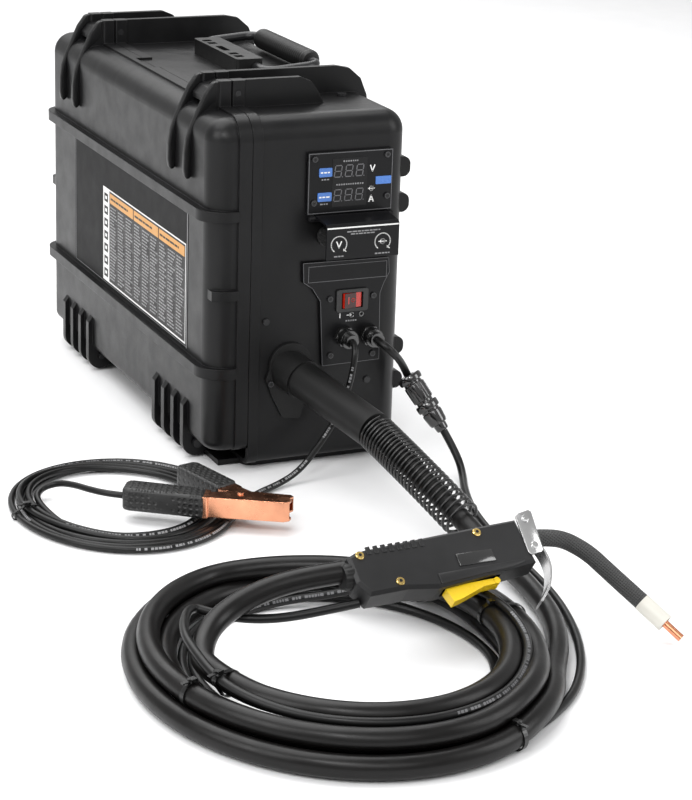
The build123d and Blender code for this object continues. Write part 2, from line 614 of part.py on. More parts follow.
with BuildPart() as gas_fitting:
    rod_y((230, HALF_LENGTH + 7), 60, 240, 7)
    rod_y((HALF_LENGTH + 7, HALF_LENGTH + 22), 60, 240, 7.9)
    with BuildSketch(front(HALF_LENGTH + 6)) as gas_nut:
        with Locations((60, 240)):
            RegularPolygon(13, 6)
    extrude(gas_nut.sketch, amount=6)
    rod_y((229, HALF_LENGTH + 23), 60, 240, 3, Mode.SUBTRACT)
save(gas_fitting.part, "gas_fitting")

# ================= Gun cable =================
RELIEF_START = (INLET[0], PANEL_FRONT, INLET[1])

with BuildPart() as strain_relief:
    way = Vector(*CABLE_START) - Vector(*RELIEF_START)
    back = Vector(*RELIEF_START) - way * 0.1
    rod(tuple(back), CABLE_START, RELIEF_R)
    rod(tuple(back), tuple(Vector(*RELIEF_START) + way * 0.16), RELIEF_R + 2)
    block((-90, 60), (PANEL_FRONT, PANEL_FRONT + 60), (0, 200), mode=Mode.SUBTRACT)
save(strain_relief.part, "strain_relief")

with BuildPart() as relief_spring:
    along((CABLE_START, (28, -462, 62), (47, -541, 32)), SPRING_R, SPRING_R - 1.1)
save(relief_spring.part, "relief_spring")

with BuildPart() as gun_cable:
    along(CABLE_IN, CABLE_D / 2)
    along(CABLE_OUT, CABLE_D / 2)
save(gun_cable.part, "gun_cable")

with BuildPart() as gun_coil:
    with BuildSketch(Plane.XY) as wide_turns:
        with Locations(COIL_CENTRE):
            Ellipse(183, 208)
            Ellipse(122, 140, mode=Mode.SUBTRACT)
    extrude(wide_turns.sketch, amount=34)
    with BuildSketch(level(34)) as top_turn:
        with Locations(COIL_CENTRE):
            Ellipse(148, 169)
            Ellipse(122, 140, mode=Mode.SUBTRACT)
    extrude(top_turn.sketch, amount=11)
save(gun_coil.part, "gun_coil")

# ================= Gun =================
with BuildPart() as gun_handle:
    plate(GUN, GUN_HALF, ((-8, 5), (2, 9), (12, 10), (60, 12.5), (117, 15.4), (159, 17), (162, -27),
                          (134, -30), (64, -37), (36, -33), (0, -34), (-8, -20)), both=True)
    long_edges = gun_handle.edges().filter_by(
        lambda e: abs(abs(GUN.to_local_coords(e.center()).Z) - GUN_HALF) < 0.1)
    chamfer(long_edges, 3)
    plate(GUN, 6, ((69, -27), (127, -27), (127, -50), (69, -50)), mode=Mode.SUBTRACT, both=True)
save(gun_handle.part, "gun_handle")

with BuildPart() as gun_trigger:
    plate(GUN, 5, ((72, -36), (75.5, -49), (84, -47), (108, -39), (124, -38), (124, -33), (100, -33.5),
                   (74, -34)), both=True)
    with BuildSketch(GUN) as trigger_pivot:
        with Locations(TRIGGER_PIVOT):
            Circle(3)
    extrude(trigger_pivot.sketch, amount=5.6, both=True)
save(gun_trigger.part, "gun_trigger")

with BuildPart() as gun_screws:
    for x, y in ((3, 4), (30, -26), (117, 9)):
        with BuildSketch(GUN.offset(GUN_HALF)) as screw:
            with Locations((x, y)):
                Circle(3)
        extrude(screw.sketch, amount=1.5)
save(gun_screws.part, "gun_screws")

with BuildPart() as gun_bracket:
    plate(GUN.offset(GUN_HALF), 2, ((160, 18.5), (175.5, 22.5), (171, -20), (156.6, -21.3)), corner=2)
    plate(GUN.offset(-3), GUN_HALF + 3, ((169.5, -8), (171.5, -8), (171, -26), (166, -45), (150, -66),
                                         (148.5, -64.5), (164, -44), (169, -25)))
save(gun_bracket.part, "gun_bracket")

NECK = ((158, 2.5), (181, 1.7), (203, -3), (221, -20), (233, -43), (251.2, -76.6))

with BuildPart() as gooseneck:
    neck_points = [tuple(GUN.from_local_coords((x, y, 0))) for x, y in NECK]
    along(neck_points, 7.7)
save(gooseneck.part, "gooseneck")

neck_end = tuple(GUN.from_local_coords((251.2, -76.6, 0)))
nozzle_end = tuple(GUN.from_local_coords((264, -101, 0)))
tip_end = tuple(GUN.from_local_coords((272.8, -117.8, 0)))

with BuildPart() as gun_nozzle:
    tube(neck_end, nozzle_end, 8.2, 6.0)
save(gun_nozzle.part, "gun_nozzle")

with BuildPart() as contact_tip:
    rod(neck_end, tip_end, 3.5)
save(contact_tip.part, "contact_tip")

# ================= Voltage sense lead and clamp =================
with BuildPart() as sense_lead:
    along(SENSE_ROUTE, SENSE_D / 2)
save(sense_lead.part, "sense_lead")

with BuildPart() as sense_coil:
    with BuildSketch(Plane.XY) as loops:
        with Locations(SENSE_COIL_CENTRE):
            Ellipse(116, 134)
            Ellipse(70, 85, mode=Mode.SUBTRACT)
    extrude(loops.sketch, amount=13)
save(sense_coil.part, "sense_coil")


def clamp_level(z):
    """Clamp's plan at a given height: local x runs from the rivet to the jaw's tip."""
    return Plane(origin=(CLAMP_PIVOT[0], CLAMP_PIVOT[1], z), x_dir=CLAMP_ALONG, z_dir=(0, 0, 1))


LOWER_JAW = ((-30, -16.5), (44, -16.5), (49, -13), (50, -8), (46, -1), (12, 1.5), (5, 6), (-7, 6), (-30, -1))
UPPER_JAW = ((46, 1), (50, 8), (47, 12), (8, 14), (-3, 24), (-17, 18), (-7, -5), (6, -6), (12, 0))

with BuildPart() as clamp_lower:
    for z in (14, 32):
        plate(clamp_level(z), 2, LOWER_JAW)
    plate(clamp_level(14), 20, ((-30, -16.5), (44, -16.5), (49, -13), (47, -12), (43, -14.5), (-30, -14.5)))
    plate(clamp_level(13.5), 21, ((-29, -19), (-29, 3), (-60, 9), (-110, 15), (-113, 8), (-112, -8), (-60, -15)),
          corner=2)
    with BuildSketch(clamp_level(12.5)) as rivet:
        Circle(3)
    extrude(rivet.sketch, amount=23)
save(clamp_lower.part, "clamp_lower")

with BuildPart() as clamp_upper:
    for z in (16.4, 29.6):
        plate(clamp_level(z), 2, UPPER_JAW)
    plate(clamp_level(16.4), 15.2, ((50, 8), (47, 12), (8, 14), (-3, 24), (-4.5, 22.5), (7, 12), (46, 10)))
    plate(clamp_level(16.4), 15.2, ((-2, 25), (-56, 79), (-62, 78), (-72, 66), (-70, 62), (-19, 9)), corner=2)
    with BuildSketch(clamp_level(12)) as rivet_hole:
        Circle(3.06)
    extrude(rivet_hole.sketch, amount=26, mode=Mode.SUBTRACT)
save(clamp_upper.part, "clamp_upper")

# ================= Control lead, connector and trigger lead =================
CONNECTOR_TOP = CONTROL_ROUTE[-1]
CONNECTOR_END = TRIGGER_IN[0]

with BuildPart() as control_lead:
    along(CONTROL_ROUTE, CONTROL_D / 2)
save(control_lead.part, "control_lead")

with BuildPart() as control_connector:
    top = Vector(*CONNECTOR_TOP)
    length = Vector(*CONNECTOR_END) - top
    for begin, end, radius in ((0, 0.12, 7), (0.12, 0.42, 11), (0.42, 0.66, 12.5), (0.66, 0.9, 10), (0.9, 1, 7)):
        rod(tuple(top + length * begin), tuple(top + length * end), radius)
save(control_connector.part, "control_connector")

with BuildPart() as trigger_lead:
    along(TRIGGER_IN, CONTROL_D / 2)
    along(TRIGGER_OUT, CONTROL_D / 2)
save(trigger_lead.part, "trigger_lead")
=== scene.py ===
import json
import math
import random
import bmesh
import bpy
from mathutils import Matrix, Vector


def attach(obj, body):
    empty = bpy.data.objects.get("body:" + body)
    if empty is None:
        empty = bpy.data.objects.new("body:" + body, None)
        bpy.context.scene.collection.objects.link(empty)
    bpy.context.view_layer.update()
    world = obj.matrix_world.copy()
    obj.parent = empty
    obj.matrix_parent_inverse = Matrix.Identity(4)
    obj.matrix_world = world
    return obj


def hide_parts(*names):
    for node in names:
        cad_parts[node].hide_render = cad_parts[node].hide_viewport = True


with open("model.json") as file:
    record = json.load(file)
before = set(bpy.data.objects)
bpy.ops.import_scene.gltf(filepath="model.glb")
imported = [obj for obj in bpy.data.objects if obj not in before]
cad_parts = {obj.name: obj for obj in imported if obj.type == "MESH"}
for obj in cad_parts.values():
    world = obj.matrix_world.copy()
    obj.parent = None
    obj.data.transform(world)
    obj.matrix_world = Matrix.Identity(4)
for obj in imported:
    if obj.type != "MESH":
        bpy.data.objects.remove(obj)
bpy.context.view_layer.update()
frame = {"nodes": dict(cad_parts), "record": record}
nodes = frame["nodes"]
scene = bpy.context.scene
scene.view_settings.view_transform = "Standard"
MM = 0.001
dice = random.Random(7)


# ================= Camera, light and floor =================
def aim(obj, place, forward, roll=0.0):
    """Puts obj at a place in mm, looking along forward, rolled clockwise by some degrees."""
    forward = Vector(forward).normalized()
    level_right = forward.cross(Vector((0, 0, 1))).normalized()
    level_up = level_right.cross(forward)
    turn = math.radians(roll)
    right = level_right * math.cos(turn) + level_up * math.sin(turn)
    up = level_up * math.cos(turn) - level_right * math.sin(turn)
    turned = Matrix((right, up, -forward)).transposed().to_4x4()
    obj.matrix_world = Matrix.Translation(Vector(place) * MM) @ turned


camera = bpy.data.objects.new("camera", bpy.data.cameras.new("camera"))
scene.collection.objects.link(camera)
camera.data.lens = 108.8
camera.data.sensor_fit = "AUTO"
camera.data.sensor_width = 36.0
camera.data.clip_start = 0.05
aim(camera, (-934.7, -2416.3, 856.4), (0.39303, 0.86323, -0.31680), 1.88)
scene.camera = camera


def softbox(name, place, target, size, power):
    """Rectangular area light at a place in mm, facing a target; its size is in metres."""
    light = bpy.data.lights.new(name, "AREA")
    light.shape = "RECTANGLE"
    light.size, light.size_y = size
    light.energy = power
    obj = bpy.data.objects.new(name, light)
    scene.collection.objects.link(obj)
    aim(obj, place, Vector(target) - Vector(place))


softbox("top_light", (-300, 300, 2100), (-50, -100, 100), (2.4, 1.6), 44)
softbox("left_light", (-2000, -900, 1300), (-100, -100, 180), (1.2, 1.2), 22)
softbox("right_light", (1500, -1500, 1100), (60, -200, 180), (0.8, 1.4), 16)
softbox("front_light", (-700, -2600, 1700), (-50, -500, 60), (1.6, 1.0), 14)
softbox("sparkle_light", (-1000, -1700, 1500), (40, -280, 180), (0.35, 0.35), 9)
softbox("back_light", (200, 2200, 1900), (200, 1900, 0), (3.0, 1.6), 36)

world = bpy.data.worlds.new("studio")
scene.world = world
world.use_nodes = True
sky = world.node_tree.nodes["Background"]
sky.inputs["Color"].default_value = (1, 1, 1, 1)
sky.inputs["Strength"].default_value = 0.55


# ================= Materials =================
def blank(name):
    """New material, its node tree and its Principled shader."""
    mat = bpy.data.materials.new(name)
    mat.use_nodes = True
    return mat, mat.node_tree, mat.node_tree.nodes["Principled BSDF"]


def node(tree, kind, **inputs):
    """Shader node with some of its inputs set; names' underscores stand for spaces."""
    made = tree.nodes.new("ShaderNode" + kind)
    for key, value in inputs.items():
        made.inputs[key.replace("_", " ")].default_value = value
    return made


def object_space(tree, scale=(1, 1, 1), turn=(0, 0, 0)):
    """Object coordinates through a mapping."""
    where = tree.nodes.new("ShaderNodeTexCoord")
    mapping = node(tree, "Mapping", Scale=scale, Rotation=turn)
    tree.links.new(where.outputs["Object"], mapping.inputs["Vector"])
    return mapping.outputs["Vector"]


def noise(tree, scale, detail=3.0, stretch=(1, 1, 1), rough=0.55):
    """Fractal noise in object space, from 0 to 1."""
    made = node(tree, "TexNoise", Scale=scale, Detail=detail, Roughness=rough)
    tree.links.new(object_space(tree, stretch), made.inputs["Vector"])
    return made.outputs["Fac"]


def spread(tree, value, low, high, start=0.3, end=0.7):
    """Maps a 0-1 value to low-high."""
    made = node(tree, "MapRange", From_Min=start, From_Max=end, To_Min=low, To_Max=high)
    tree.links.new(value, made.inputs["Value"])
    return made.outputs["Result"]


def tone(tree, value, dark, light, start=0.35, end=0.65):
    """Colour between dark and light as a 0-1 value goes from start to end."""
    ramp = tree.nodes.new("ShaderNodeValToRGB")
    ramp.color_ramp.elements[0].position = start
    ramp.color_ramp.elements[0].color = (*dark, 1)
    ramp.color_ramp.elements[1].position = end
    ramp.color_ramp.elements[1].color = (*light, 1)
    tree.links.new(value, ramp.inputs["Fac"])
    return ramp.outputs["Color"]


def bump(tree, height, strength, distance, under=None):
    """Bump from a height, on top of another normal if one is given."""
    made = node(tree, "Bump", Strength=strength, Distance=distance)
    tree.links.new(height, made.inputs["Height"])
    if under is not None:
        tree.links.new(under, made.inputs["Normal"])
    return made.outputs["Normal"]


def moulded(name, color, rough, vary=0.06, grain=900.0, depth=0.15, metal=0.0, coat=0.0, edge=0.0,
            specular=0.5, mottle=0.18, scratch=0.0):
    """Plastic, rubber or metal: mottled colour, uneven gloss, fine grain, rounded edges, faint scratches."""
    mat, tree, shader = blank(name)
    links = tree.links
    dark = [c * (1 - mottle) for c in color]
    light = [min(1.0, c * (1 + mottle)) for c in color]
    links.new(tone(tree, noise(tree, 14.0, 4.0), dark, light), shader.inputs["Base Color"])
    links.new(spread(tree, noise(tree, 45.0, 5.0), rough - vary, rough + vary), shader.inputs["Roughness"])
    shader.inputs["Metallic"].default_value = metal
    shader.inputs["Specular IOR Level"].default_value = specular
    shader.inputs["Coat Weight"].default_value = coat
    shader.inputs["Coat Roughness"].default_value = 0.12
    under = None
    if edge:
        rounded = node(tree, "Bevel", Radius=edge * MM)
        rounded.samples = 4
        under = rounded.outputs["Normal"]
    normal = bump(tree, noise(tree, grain, 2.0), depth, 0.0003, under)
    if scratch:
        lines = noise(tree, 26.0, 6.0, (1.0, 30.0, 1.0), 0.75)
        normal = bump(tree, spread(tree, lines, 0.0, 1.0, 0.62, 0.70), scratch, 0.0002, normal)
    links.new(normal, shader.inputs["Normal"])
    return mat


CASE = moulded("case_plastic_look", (0.0042, 0.0042, 0.0045), 0.36, 0.05, 1500, 0.10, edge=1.2, scratch=0.08,
               specular=0.25)
SEAL = moulded("seal_look", (0.02, 0.02, 0.02), 0.7)
DARK_STEEL = moulded("dark_steel_look", (0.014, 0.014, 0.015), 0.32, metal=0.3, edge=0.4)
GRIP = moulded("grip_look", (0.006, 0.006, 0.006), 0.4, edge=0.8, specular=0.3)
PANEL = moulded("panel_look", (0.0034, 0.0034, 0.004), 0.33, 0.04, 2200, 0.06, edge=0.6, specular=0.22)
WINDOW = moulded("window_look", (0.005, 0.005, 0.0055), 0.2, 0.03, 3000, 0.01, specular=0.24)
BLUE = moulded("blue_look", (0.05, 0.17, 0.52), 0.25, coat=0.3, depth=0.02)
KNOB = moulded("knob_look", (0.014, 0.014, 0.014), 0.38, edge=0.4)
ROCKER_RED = moulded("rocker_look", (0.50, 0.018, 0.008), 0.22, depth=0.02, coat=0.4, edge=0.4)
GLAND = moulded("gland_look", (0.006, 0.006, 0.006), 0.12, 0.03, 1200, 0.04, edge=0.9, specular=0.8, coat=0.5)
FLANGE = moulded("flange_look", (0.006, 0.006, 0.006), 0.5, edge=0.6, specular=0.3)
CHASSIS = moulded("chassis_look", (0.17, 0.17, 0.18), 0.42, metal=0.2, edge=0.5)
HUB = moulded("hub_look", (0.02, 0.02, 0.02), 0.4, edge=0.5)
SPOOL = moulded("spool_look", (0.022, 0.022, 0.024), 0.36, edge=0.6)
DRIVE = moulded("drive_look", (0.5, 0.5, 0.52), 0.38, metal=0.9, depth=0.3, grain=400, edge=0.6)
MOTOR = moulded("motor_look", (0.02, 0.02, 0.022), 0.35, metal=0.3, edge=0.6)
ROLL = moulded("roll_look", (0.32, 0.32, 0.33), 0.28, metal=1.0, edge=0.3)
TENSION = moulded("tension_look", (0.015, 0.015, 0.015), 0.4, edge=0.4)
BRASS = moulded("brass_look", (0.62, 0.43, 0.15), 0.26, metal=1.0, edge=0.3)
BOARD = moulded("board_look", (0.02, 0.13, 0.06), 0.4, grain=300, depth=0.4)
CONTACTOR = moulded("contactor_look", (0.03, 0.03, 0.03), 0.4, edge=0.5)
RUBBER = moulded("relief_look", (0.005, 0.005, 0.005), 0.46, 0.05, 700, 0.16, specular=0.3)
CABLE = moulded("cable_look", (0.0034, 0.0030, 0.0029), 0.35, 0.06, 420, 0.16, specular=0.26)
THIN_LEAD = moulded("thin_lead_look", (0.004, 0.004, 0.004), 0.36, 0.05, 800, 0.10, specular=0.28)
SPRING = moulded("spring_look", (0.004, 0.004, 0.004), 0.2, 0.04, 900, 0.05, specular=0.5)
GUN_PLASTIC = moulded("gun_look", (0.011, 0.011, 0.0115), 0.42, 0.05, 1300, 0.25, edge=0.9, specular=0.34)
YELLOW = moulded("trigger_look", (0.86, 0.58, 0.015), 0.3, depth=0.04, edge=0.6, mottle=0.05)
SCREW_BRASS = moulded("screw_look", (0.78, 0.56, 0.2), 0.22, metal=1.0, depth=0.05)
STEEL = moulded("bracket_look", (0.62, 0.62, 0.62), 0.22, 0.06, 500, 0.1, metal=1.0, edge=0.4)
WHITE_CERAMIC = moulded("nozzle_look", (0.60, 0.585, 0.53), 0.34, depth=0.04, mottle=0.05, edge=0.5)
TIP = moulded("tip_look", (0.72, 0.30, 0.17), 0.22, metal=1.0, depth=0.04)
COPPER = moulded("clamp_look", (0.74, 0.34, 0.20), 0.24, 0.08, 300, 0.12, metal=1.0, edge=1.2, mottle=0.22)
LABEL = moulded("label_look", (0.0025, 0.0025, 0.0028), 0.5, 0.03, 2500, 0.02, specular=0.1)
INK_WHITE = moulded("ink_white_look", (0.75, 0.75, 0.74), 0.35, depth=0.02, mottle=0.04)
INK_GREY = moulded("ink_grey_look", (0.22, 0.22, 0.225), 0.4, depth=0.02, mottle=0.08)
INK_DIM = moulded("ink_dim_look", (0.10, 0.10, 0.105), 0.4, depth=0.02, mottle=0.08)
ORANGE = moulded("ink_orange_look", (0.54, 0.24, 0.025), 0.35, depth=0.02, mottle=0.05)
TABLE_DARK = moulded("table_look", (0.020, 0.019, 0.019), 0.45, depth=0.02, mottle=0.08, specular=0.2)
TIE = moulded("tie_look", (0.004, 0.004, 0.004), 0.25, depth=0.02)
# Painted shade: a darker copy of the rocker's red.
ROCKER_SHADE = moulded("rocker_shade_look", (0.035, 0.004, 0.003), 0.22, depth=0.02)
# Painted shade for screw recesses.
SCREW_RECESS_SHADE = moulded("screw_recess_shade_look", (0.004, 0.004, 0.004), 0.3, depth=0.02)


def braid(name, color, pitch):
    """Woven sleeve: two crossed sets of diagonal strands, with painted shade darkening the colour where the
    weave is low, between the strands.
    """
    mat, tree, shader = blank(name)
    heights = []
    for angle in (0.9, -0.9):
        wave = tree.nodes.new("ShaderNodeTexWave")
        wave.wave_type = "BANDS"
        wave.inputs["Scale"].default_value = pitch
        wave.inputs["Distortion"].default_value = 0.4
        tree.links.new(object_space(tree, (1, 1, 1), (0.3, angle, 0.35)), wave.inputs["Vector"])
        heights.append(wave.outputs["Fac"])
    most = tree.nodes.new("ShaderNodeMath")
    most.operation = "MAXIMUM"
    tree.links.new(heights[0], most.inputs[0])
    tree.links.new(heights[1], most.inputs[1])
    # Painted shade: the colour falls to a third of its value where the weave is low, between the strands.
    dark = [c * 0.35 for c in color]
    tree.links.new(tone(tree, most.outputs["Value"], dark, color, 0.2, 0.9), shader.inputs["Base Color"])
    tree.links.new(bump(tree, most.outputs["Value"], 0.9, 0.0008), shader.inputs["Normal"])
    tree.links.new(spread(tree, noise(tree, 60.0), 0.42, 0.6), shader.inputs["Roughness"])
    return mat


def wound_wire(name, color):
    """Layer-wound welding wire: fine turns round the spool's axis, with painted shade darkening the grooves
    between turns.
    """
    mat, tree, shader = blank(name)
    wave = tree.nodes.new("ShaderNodeTexWave")
    wave.wave_type = "BANDS"
    wave.bands_direction = "X"
    wave.inputs["Scale"].default_value = 160.0
    wave.inputs["Distortion"].default_value = 0.6
    tree.links.new(object_space(tree), wave.inputs["Vector"])
    # Painted shade: the colour darkens in the grooves between turns, where the bump is low.
    dark = [c * 0.4 for c in color]
    tree.links.new(tone(tree, wave.outputs["Fac"], dark, color, 0.05, 0.8), shader.inputs["Base Color"])
    tree.links.new(bump(tree, wave.outputs["Fac"], 0.8, 0.0006), shader.inputs["Normal"])
    tree.links.new(spread(tree, noise(tree, 60.0), 0.25, 0.4), shader.inputs["Roughness"])
    shader.inputs["Metallic"].default_value = 1.0
    return mat


def dimpled(name, color):
    """Grip sleeve with rows of round dimples, the dimples darkened with painted shade."""
    mat, tree, shader = blank(name)
    cells = tree.nodes.new("ShaderNodeTexVoronoi")
    cells.inputs["Scale"].default_value = 170.0
    cells.inputs["Randomness"].default_value = 0.15
    tree.links.new(object_space(tree, (1, 1, 1), (0, 0, 0.5236)), cells.inputs["Vector"])
    pits = spread(tree, cells.outputs["Distance"], 0.0, 1.0, 0.25, 0.45)
    # Painted shade: the colour darkens to six tenths in the pits, where the bump is low.
    dark = [c * 0.6 for c in color]
    tree.links.new(tone(tree, pits, dark, color), shader.inputs["Base Color"])
    tree.links.new(bump(tree, pits, 0.9, 0.0012), shader.inputs["Normal"])
    tree.links.new(spread(tree, noise(tree, 60.0), 0.36, 0.5), shader.inputs["Roughness"])
    return mat


SLEEVE = braid("sleeve_look", (0.035, 0.035, 0.035), 150.0)
WIRE = wound_wire("wire_look", (0.72, 0.42, 0.26))
CLAMP_GRIP = dimpled("clamp_grip_look", (0.014, 0.014, 0.014))

LOOKS = {
    "case_plastic": CASE, "seal_rubber": SEAL, "dark_steel": DARK_STEEL, "grip_plastic": GRIP,
    "panel_plastic": PANEL, "window_plastic": WINDOW, "indicator_blue": BLUE, "knob_plastic": KNOB,
    "rocker_red": ROCKER_RED, "gland_plastic": GLAND, "flange_plastic": FLANGE, "chassis_paint": CHASSIS,
    "hub_plastic": HUB, "spool_plastic": SPOOL, "weld_wire": WIRE, "drive_metal": DRIVE,
    "motor_paint": MOTOR, "roll_steel": ROLL, "tension_plastic": TENSION, "guide_brass": BRASS,
    "board_green": BOARD, "contactor_plastic": CONTACTOR, "relief_rubber": RUBBER, "cable_rubber": CABLE,
    "gun_plastic": GUN_PLASTIC, "trigger_yellow": YELLOW, "screw_brass": SCREW_BRASS,
    "bracket_steel": STEEL, "sleeve_fabric": SLEEVE, "nozzle_white": WHITE_CERAMIC, "tip_copper": TIP,
    "clamp_copper": COPPER,
}
for part in frame["record"]["subparts"]:
    for holder in nodes[part["node"]].material_slots:
        holder.material = LOOKS[part["material_slot"]]

# Seamless floor, well beyond the light's edge.
FLOOR_REACH = 9.0
FLOOR_Z = -0.0005
floor_corners = [(x * FLOOR_REACH, y * FLOOR_REACH, FLOOR_Z) for x, y in ((-1, -1), (1, -1), (1, 1), (-1, 1))]
floor_mesh = bpy.data.meshes.new("floor")
floor_mesh.from_pydata(floor_corners, [], [(0, 1, 2, 3)])
floor = bpy.data.objects.new("floor", floor_mesh)
scene.collection.objects.link(floor)
FLOOR = moulded("floor_look", (0.86, 0.86, 0.865), 0.6, depth=0.0, mottle=0.01, specular=0.15)
floor.data.materials.append(FLOOR)


# ================= Cords =================
def cord_curve(name, points, diameter, look, body="root"):
    """Round cord on one open NURBS spline; points are in mm."""
    data = bpy.data.curves.new(name, "CURVE")
    data.dimensions = "3D"
    spline = data.splines.new("NURBS")
    spline.points.add(len(points) - 1)
    for point, at in zip(spline.points, points):
        point.co = (at[0] * MM, at[1] * MM, at[2] * MM, 1)
    spline.order_u = 3
    spline.use_endpoint_u = True
    spline.resolution_u = 6
    data.bevel_depth = diameter * MM / 2
    data.bevel_resolution = 5
    data.use_fill_caps = True
    data.materials.append(look)
    obj = bpy.data.objects.new(name, data)
    scene.collection.objects.link(obj)
    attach(obj, body)
    return obj


def line_of(curve_object):
    """Points in mm along a curve object's centreline, closely spaced."""
    bare = curve_object.data.copy()
    bare.bevel_depth = 0.0
    helper = bpy.data.objects.new("centreline", bare)
    scene.collection.objects.link(helper)
    bpy.context.view_layer.update()
    mesh = bpy.data.meshes.new_from_object(helper.evaluated_get(bpy.context.evaluated_depsgraph_get()))
    found = [vertex.co / MM for vertex in mesh.vertices]
    bpy.data.objects.remove(helper)
    bpy.data.meshes.remove(mesh)
    bpy.data.curves.remove(bare)
    return found


def lengths_along(points):
    """Distance from the start to each point."""
    total = [0.0]
    for a, b in zip(points, points[1:]):
        total.append(total[-1] + (b - a).length)
    return total


def point_at(points, total, distance):
    """Point and direction at a distance along a line of points."""
    distance = max(0.0, min(total[-1] - 1e-6, distance))
    index = 0
    while total[index + 1] < distance:
        index += 1
    share = (distance - total[index]) / (total[index + 1] - total[index])
    way = (points[index + 1] - points[index]).normalized()
    return points[index].lerp(points[index + 1], share), way


def eased(keys, value):
    """Smooth value from (position, number) keys."""
    if value <= keys[0][0]:
        return keys[0][1]
    for (x0, y0), (x1, y1) in zip(keys, keys[1:]):
        if value <= x1:
            share = (value - x0) / (x1 - x0)
            share = share * share * (3 - 2 * share)
            return y0 + (y1 - y0) * share
    return keys[-1][1]


TURN_POINTS = 24
COIL = Vector((-166.0, -736.0))
COIL_OVAL = Vector((0.945, 1.08))
UNEVEN = 1.4                # how far a turn wanders from its radius, in mm


def coil_place(start, gone, radius_keys, height_keys, spread_out=1.0):
    """Point on a coil after some turns, clockwise from its starting angle."""
    angle = start - 360 * gone
    radius = eased(radius_keys, gone) * spread_out
    radius += UNEVEN * math.sin(math.radians(2.3 * angle) + 1.3 * int(gone))
    turn = math.radians(angle)
    return Vector((COIL.x + COIL_OVAL.x * radius * math.cos(turn),
                   COIL.y + COIL_OVAL.y * radius * math.sin(turn),
                   eased(height_keys, gone)))


def coil_points(start, turns, radius_keys, height_keys):
    """The coil's route: its ends are the neighbours' points, so they are left out."""
    count = int(turns * TURN_POINTS)
    spread_out = 1 / math.cos(math.pi / TURN_POINTS)
    return [coil_place(start, turns * step / count, radius_keys, height_keys, spread_out)[:]
            for step in range(1, count)]


# The gun cable: from the strain relief to the coil, round it, and up to the gun's tail. Each coil is given by
# its starting angle, then its radius and its height against the turns gone.
CABLE_D = 20.0
CABLE_TURNS = 3.392
CABLE_IN = ((14, -402, 82), (28, -462, 62), (44, -528, 37), (55, -585, 17), (58, -645, 10.5),
            (46, -712, 10.5), (22, -770, 10.5), (-8, -816, 10.5))
CABLE_OUT = ((-297, -757, 35), (-292, -738, 38), (-281, -719, 43), (-264, -704, 50), (-241, -696, 58),
             (-213, -694, 66), (-182, -698, 72), (-151, -704, 75))
CABLE_COIL = (
    -23.9,
    ((0, 182.9), (0.80, 182), (0.95, 154), (1.70, 154), (1.82, 166), (1.93, 167), (2.0, 168), (2.62, 168),
     (2.72, 143), (3.0, 144), (3.3, 143), (3.55, 136)),
    ((0, 10.5), (0.02, 11), (0.065, 18.5), (0.12, 11), (0.2, 10.5), (1.70, 10.5), (1.82, 33), (1.93, 30),
     (2.0, 26), (2.065, 32), (2.13, 26), (2.62, 25), (2.72, 32), (3.0, 33), (3.25, 34), (3.5, 34)))
cable_turns = coil_points(CABLE_COIL[0], CABLE_TURNS, *CABLE_COIL[1:])
gun_cable = cord_curve("gun_cable_line", CABLE_IN + tuple(cable_turns) + CABLE_OUT, CABLE_D, CABLE)
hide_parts("gun_cable", "gun_coil")

# The sense lead: down from its gland, round its own coil, and up to the clamp.
SENSE_D = 6.5
SENSE_ROUTE = ((38, -292, 138), (37, -302, 135), (34, -305, 118), (30, -303, 92), (20, -296, 58),
               (0, -300, 34), (-22, -308, 14), (-46, -314, 4), (-82, -334, 4), (-110, -360, 4))
SENSE_END = ((-294, -286, 6), (-284, -266, 10), (-267, -268, 15), (-257, -290, 20), (-249, -316, 23),
             (-236, -336, 24), (-222, -346, 24))
SENSE_COIL = Vector((-214.0, -313.0))
SENSE_OVAL = Vector((110.0, 127.0))


SENSE_SIZE = ((0, 1.0), (1, 0.945), (2, 0.885), (3, 0.80), (3.3, 0.78), (3.5, 0.905), (3.8, 0.80), (4, 0.735),
              (4.3, 0.72), (4.5, 0.84), (4.8, 0.74), (5.0, 0.69), (5.4, 0.74))
SENSE_HEIGHT = ((0, 4), (3.2, 4), (3.5, 9.8), (3.8, 4.5), (4.2, 4), (4.5, 9.8), (4.8, 4.5), (5.2, 4),
                (5.4, 4.5))
SENSE_START = -21
SENSE_TURNS = 5.42
SENSE_TURN_POINTS = 20


def sense_place(gone):
    """Point on the sense lead's loose flat loops, gathered at the left and fanned out elsewhere."""
    angle = math.radians(SENSE_START - 360 * gone)
    scale = eased(SENSE_SIZE, gone) * (1 + 0.012 * math.sin(3 * angle + 2.1 * int(gone)))
    return Vector((SENSE_COIL.x + SENSE_OVAL.x * scale * math.cos(angle),
                   SENSE_COIL.y + SENSE_OVAL.y * scale * math.sin(angle), eased(SENSE_HEIGHT, gone)))


sense_count = int(SENSE_TURNS * SENSE_TURN_POINTS)
sense_turns = [sense_place(SENSE_TURNS * step / sense_count)[:] for step in range(1, sense_count)]
sense_lead = cord_curve("sense_lead_line", SENSE_ROUTE + tuple(sense_turns) + SENSE_END, SENSE_D, THIN_LEAD)
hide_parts("sense_lead", "sense_coil")

# The control lead ends in the in-line connector, and the trigger lead goes on from there to the gun.
LEAD_D = 8.0
CONTROL_ROUTE = ((66, -292, 137), (68, -305, 135), (78, -306, 126), (94, -293, 110), (102, -289, 96))
control_lead = cord_curve("control_lead_line", CONTROL_ROUTE, LEAD_D, THIN_LEAD)
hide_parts("control_lead")

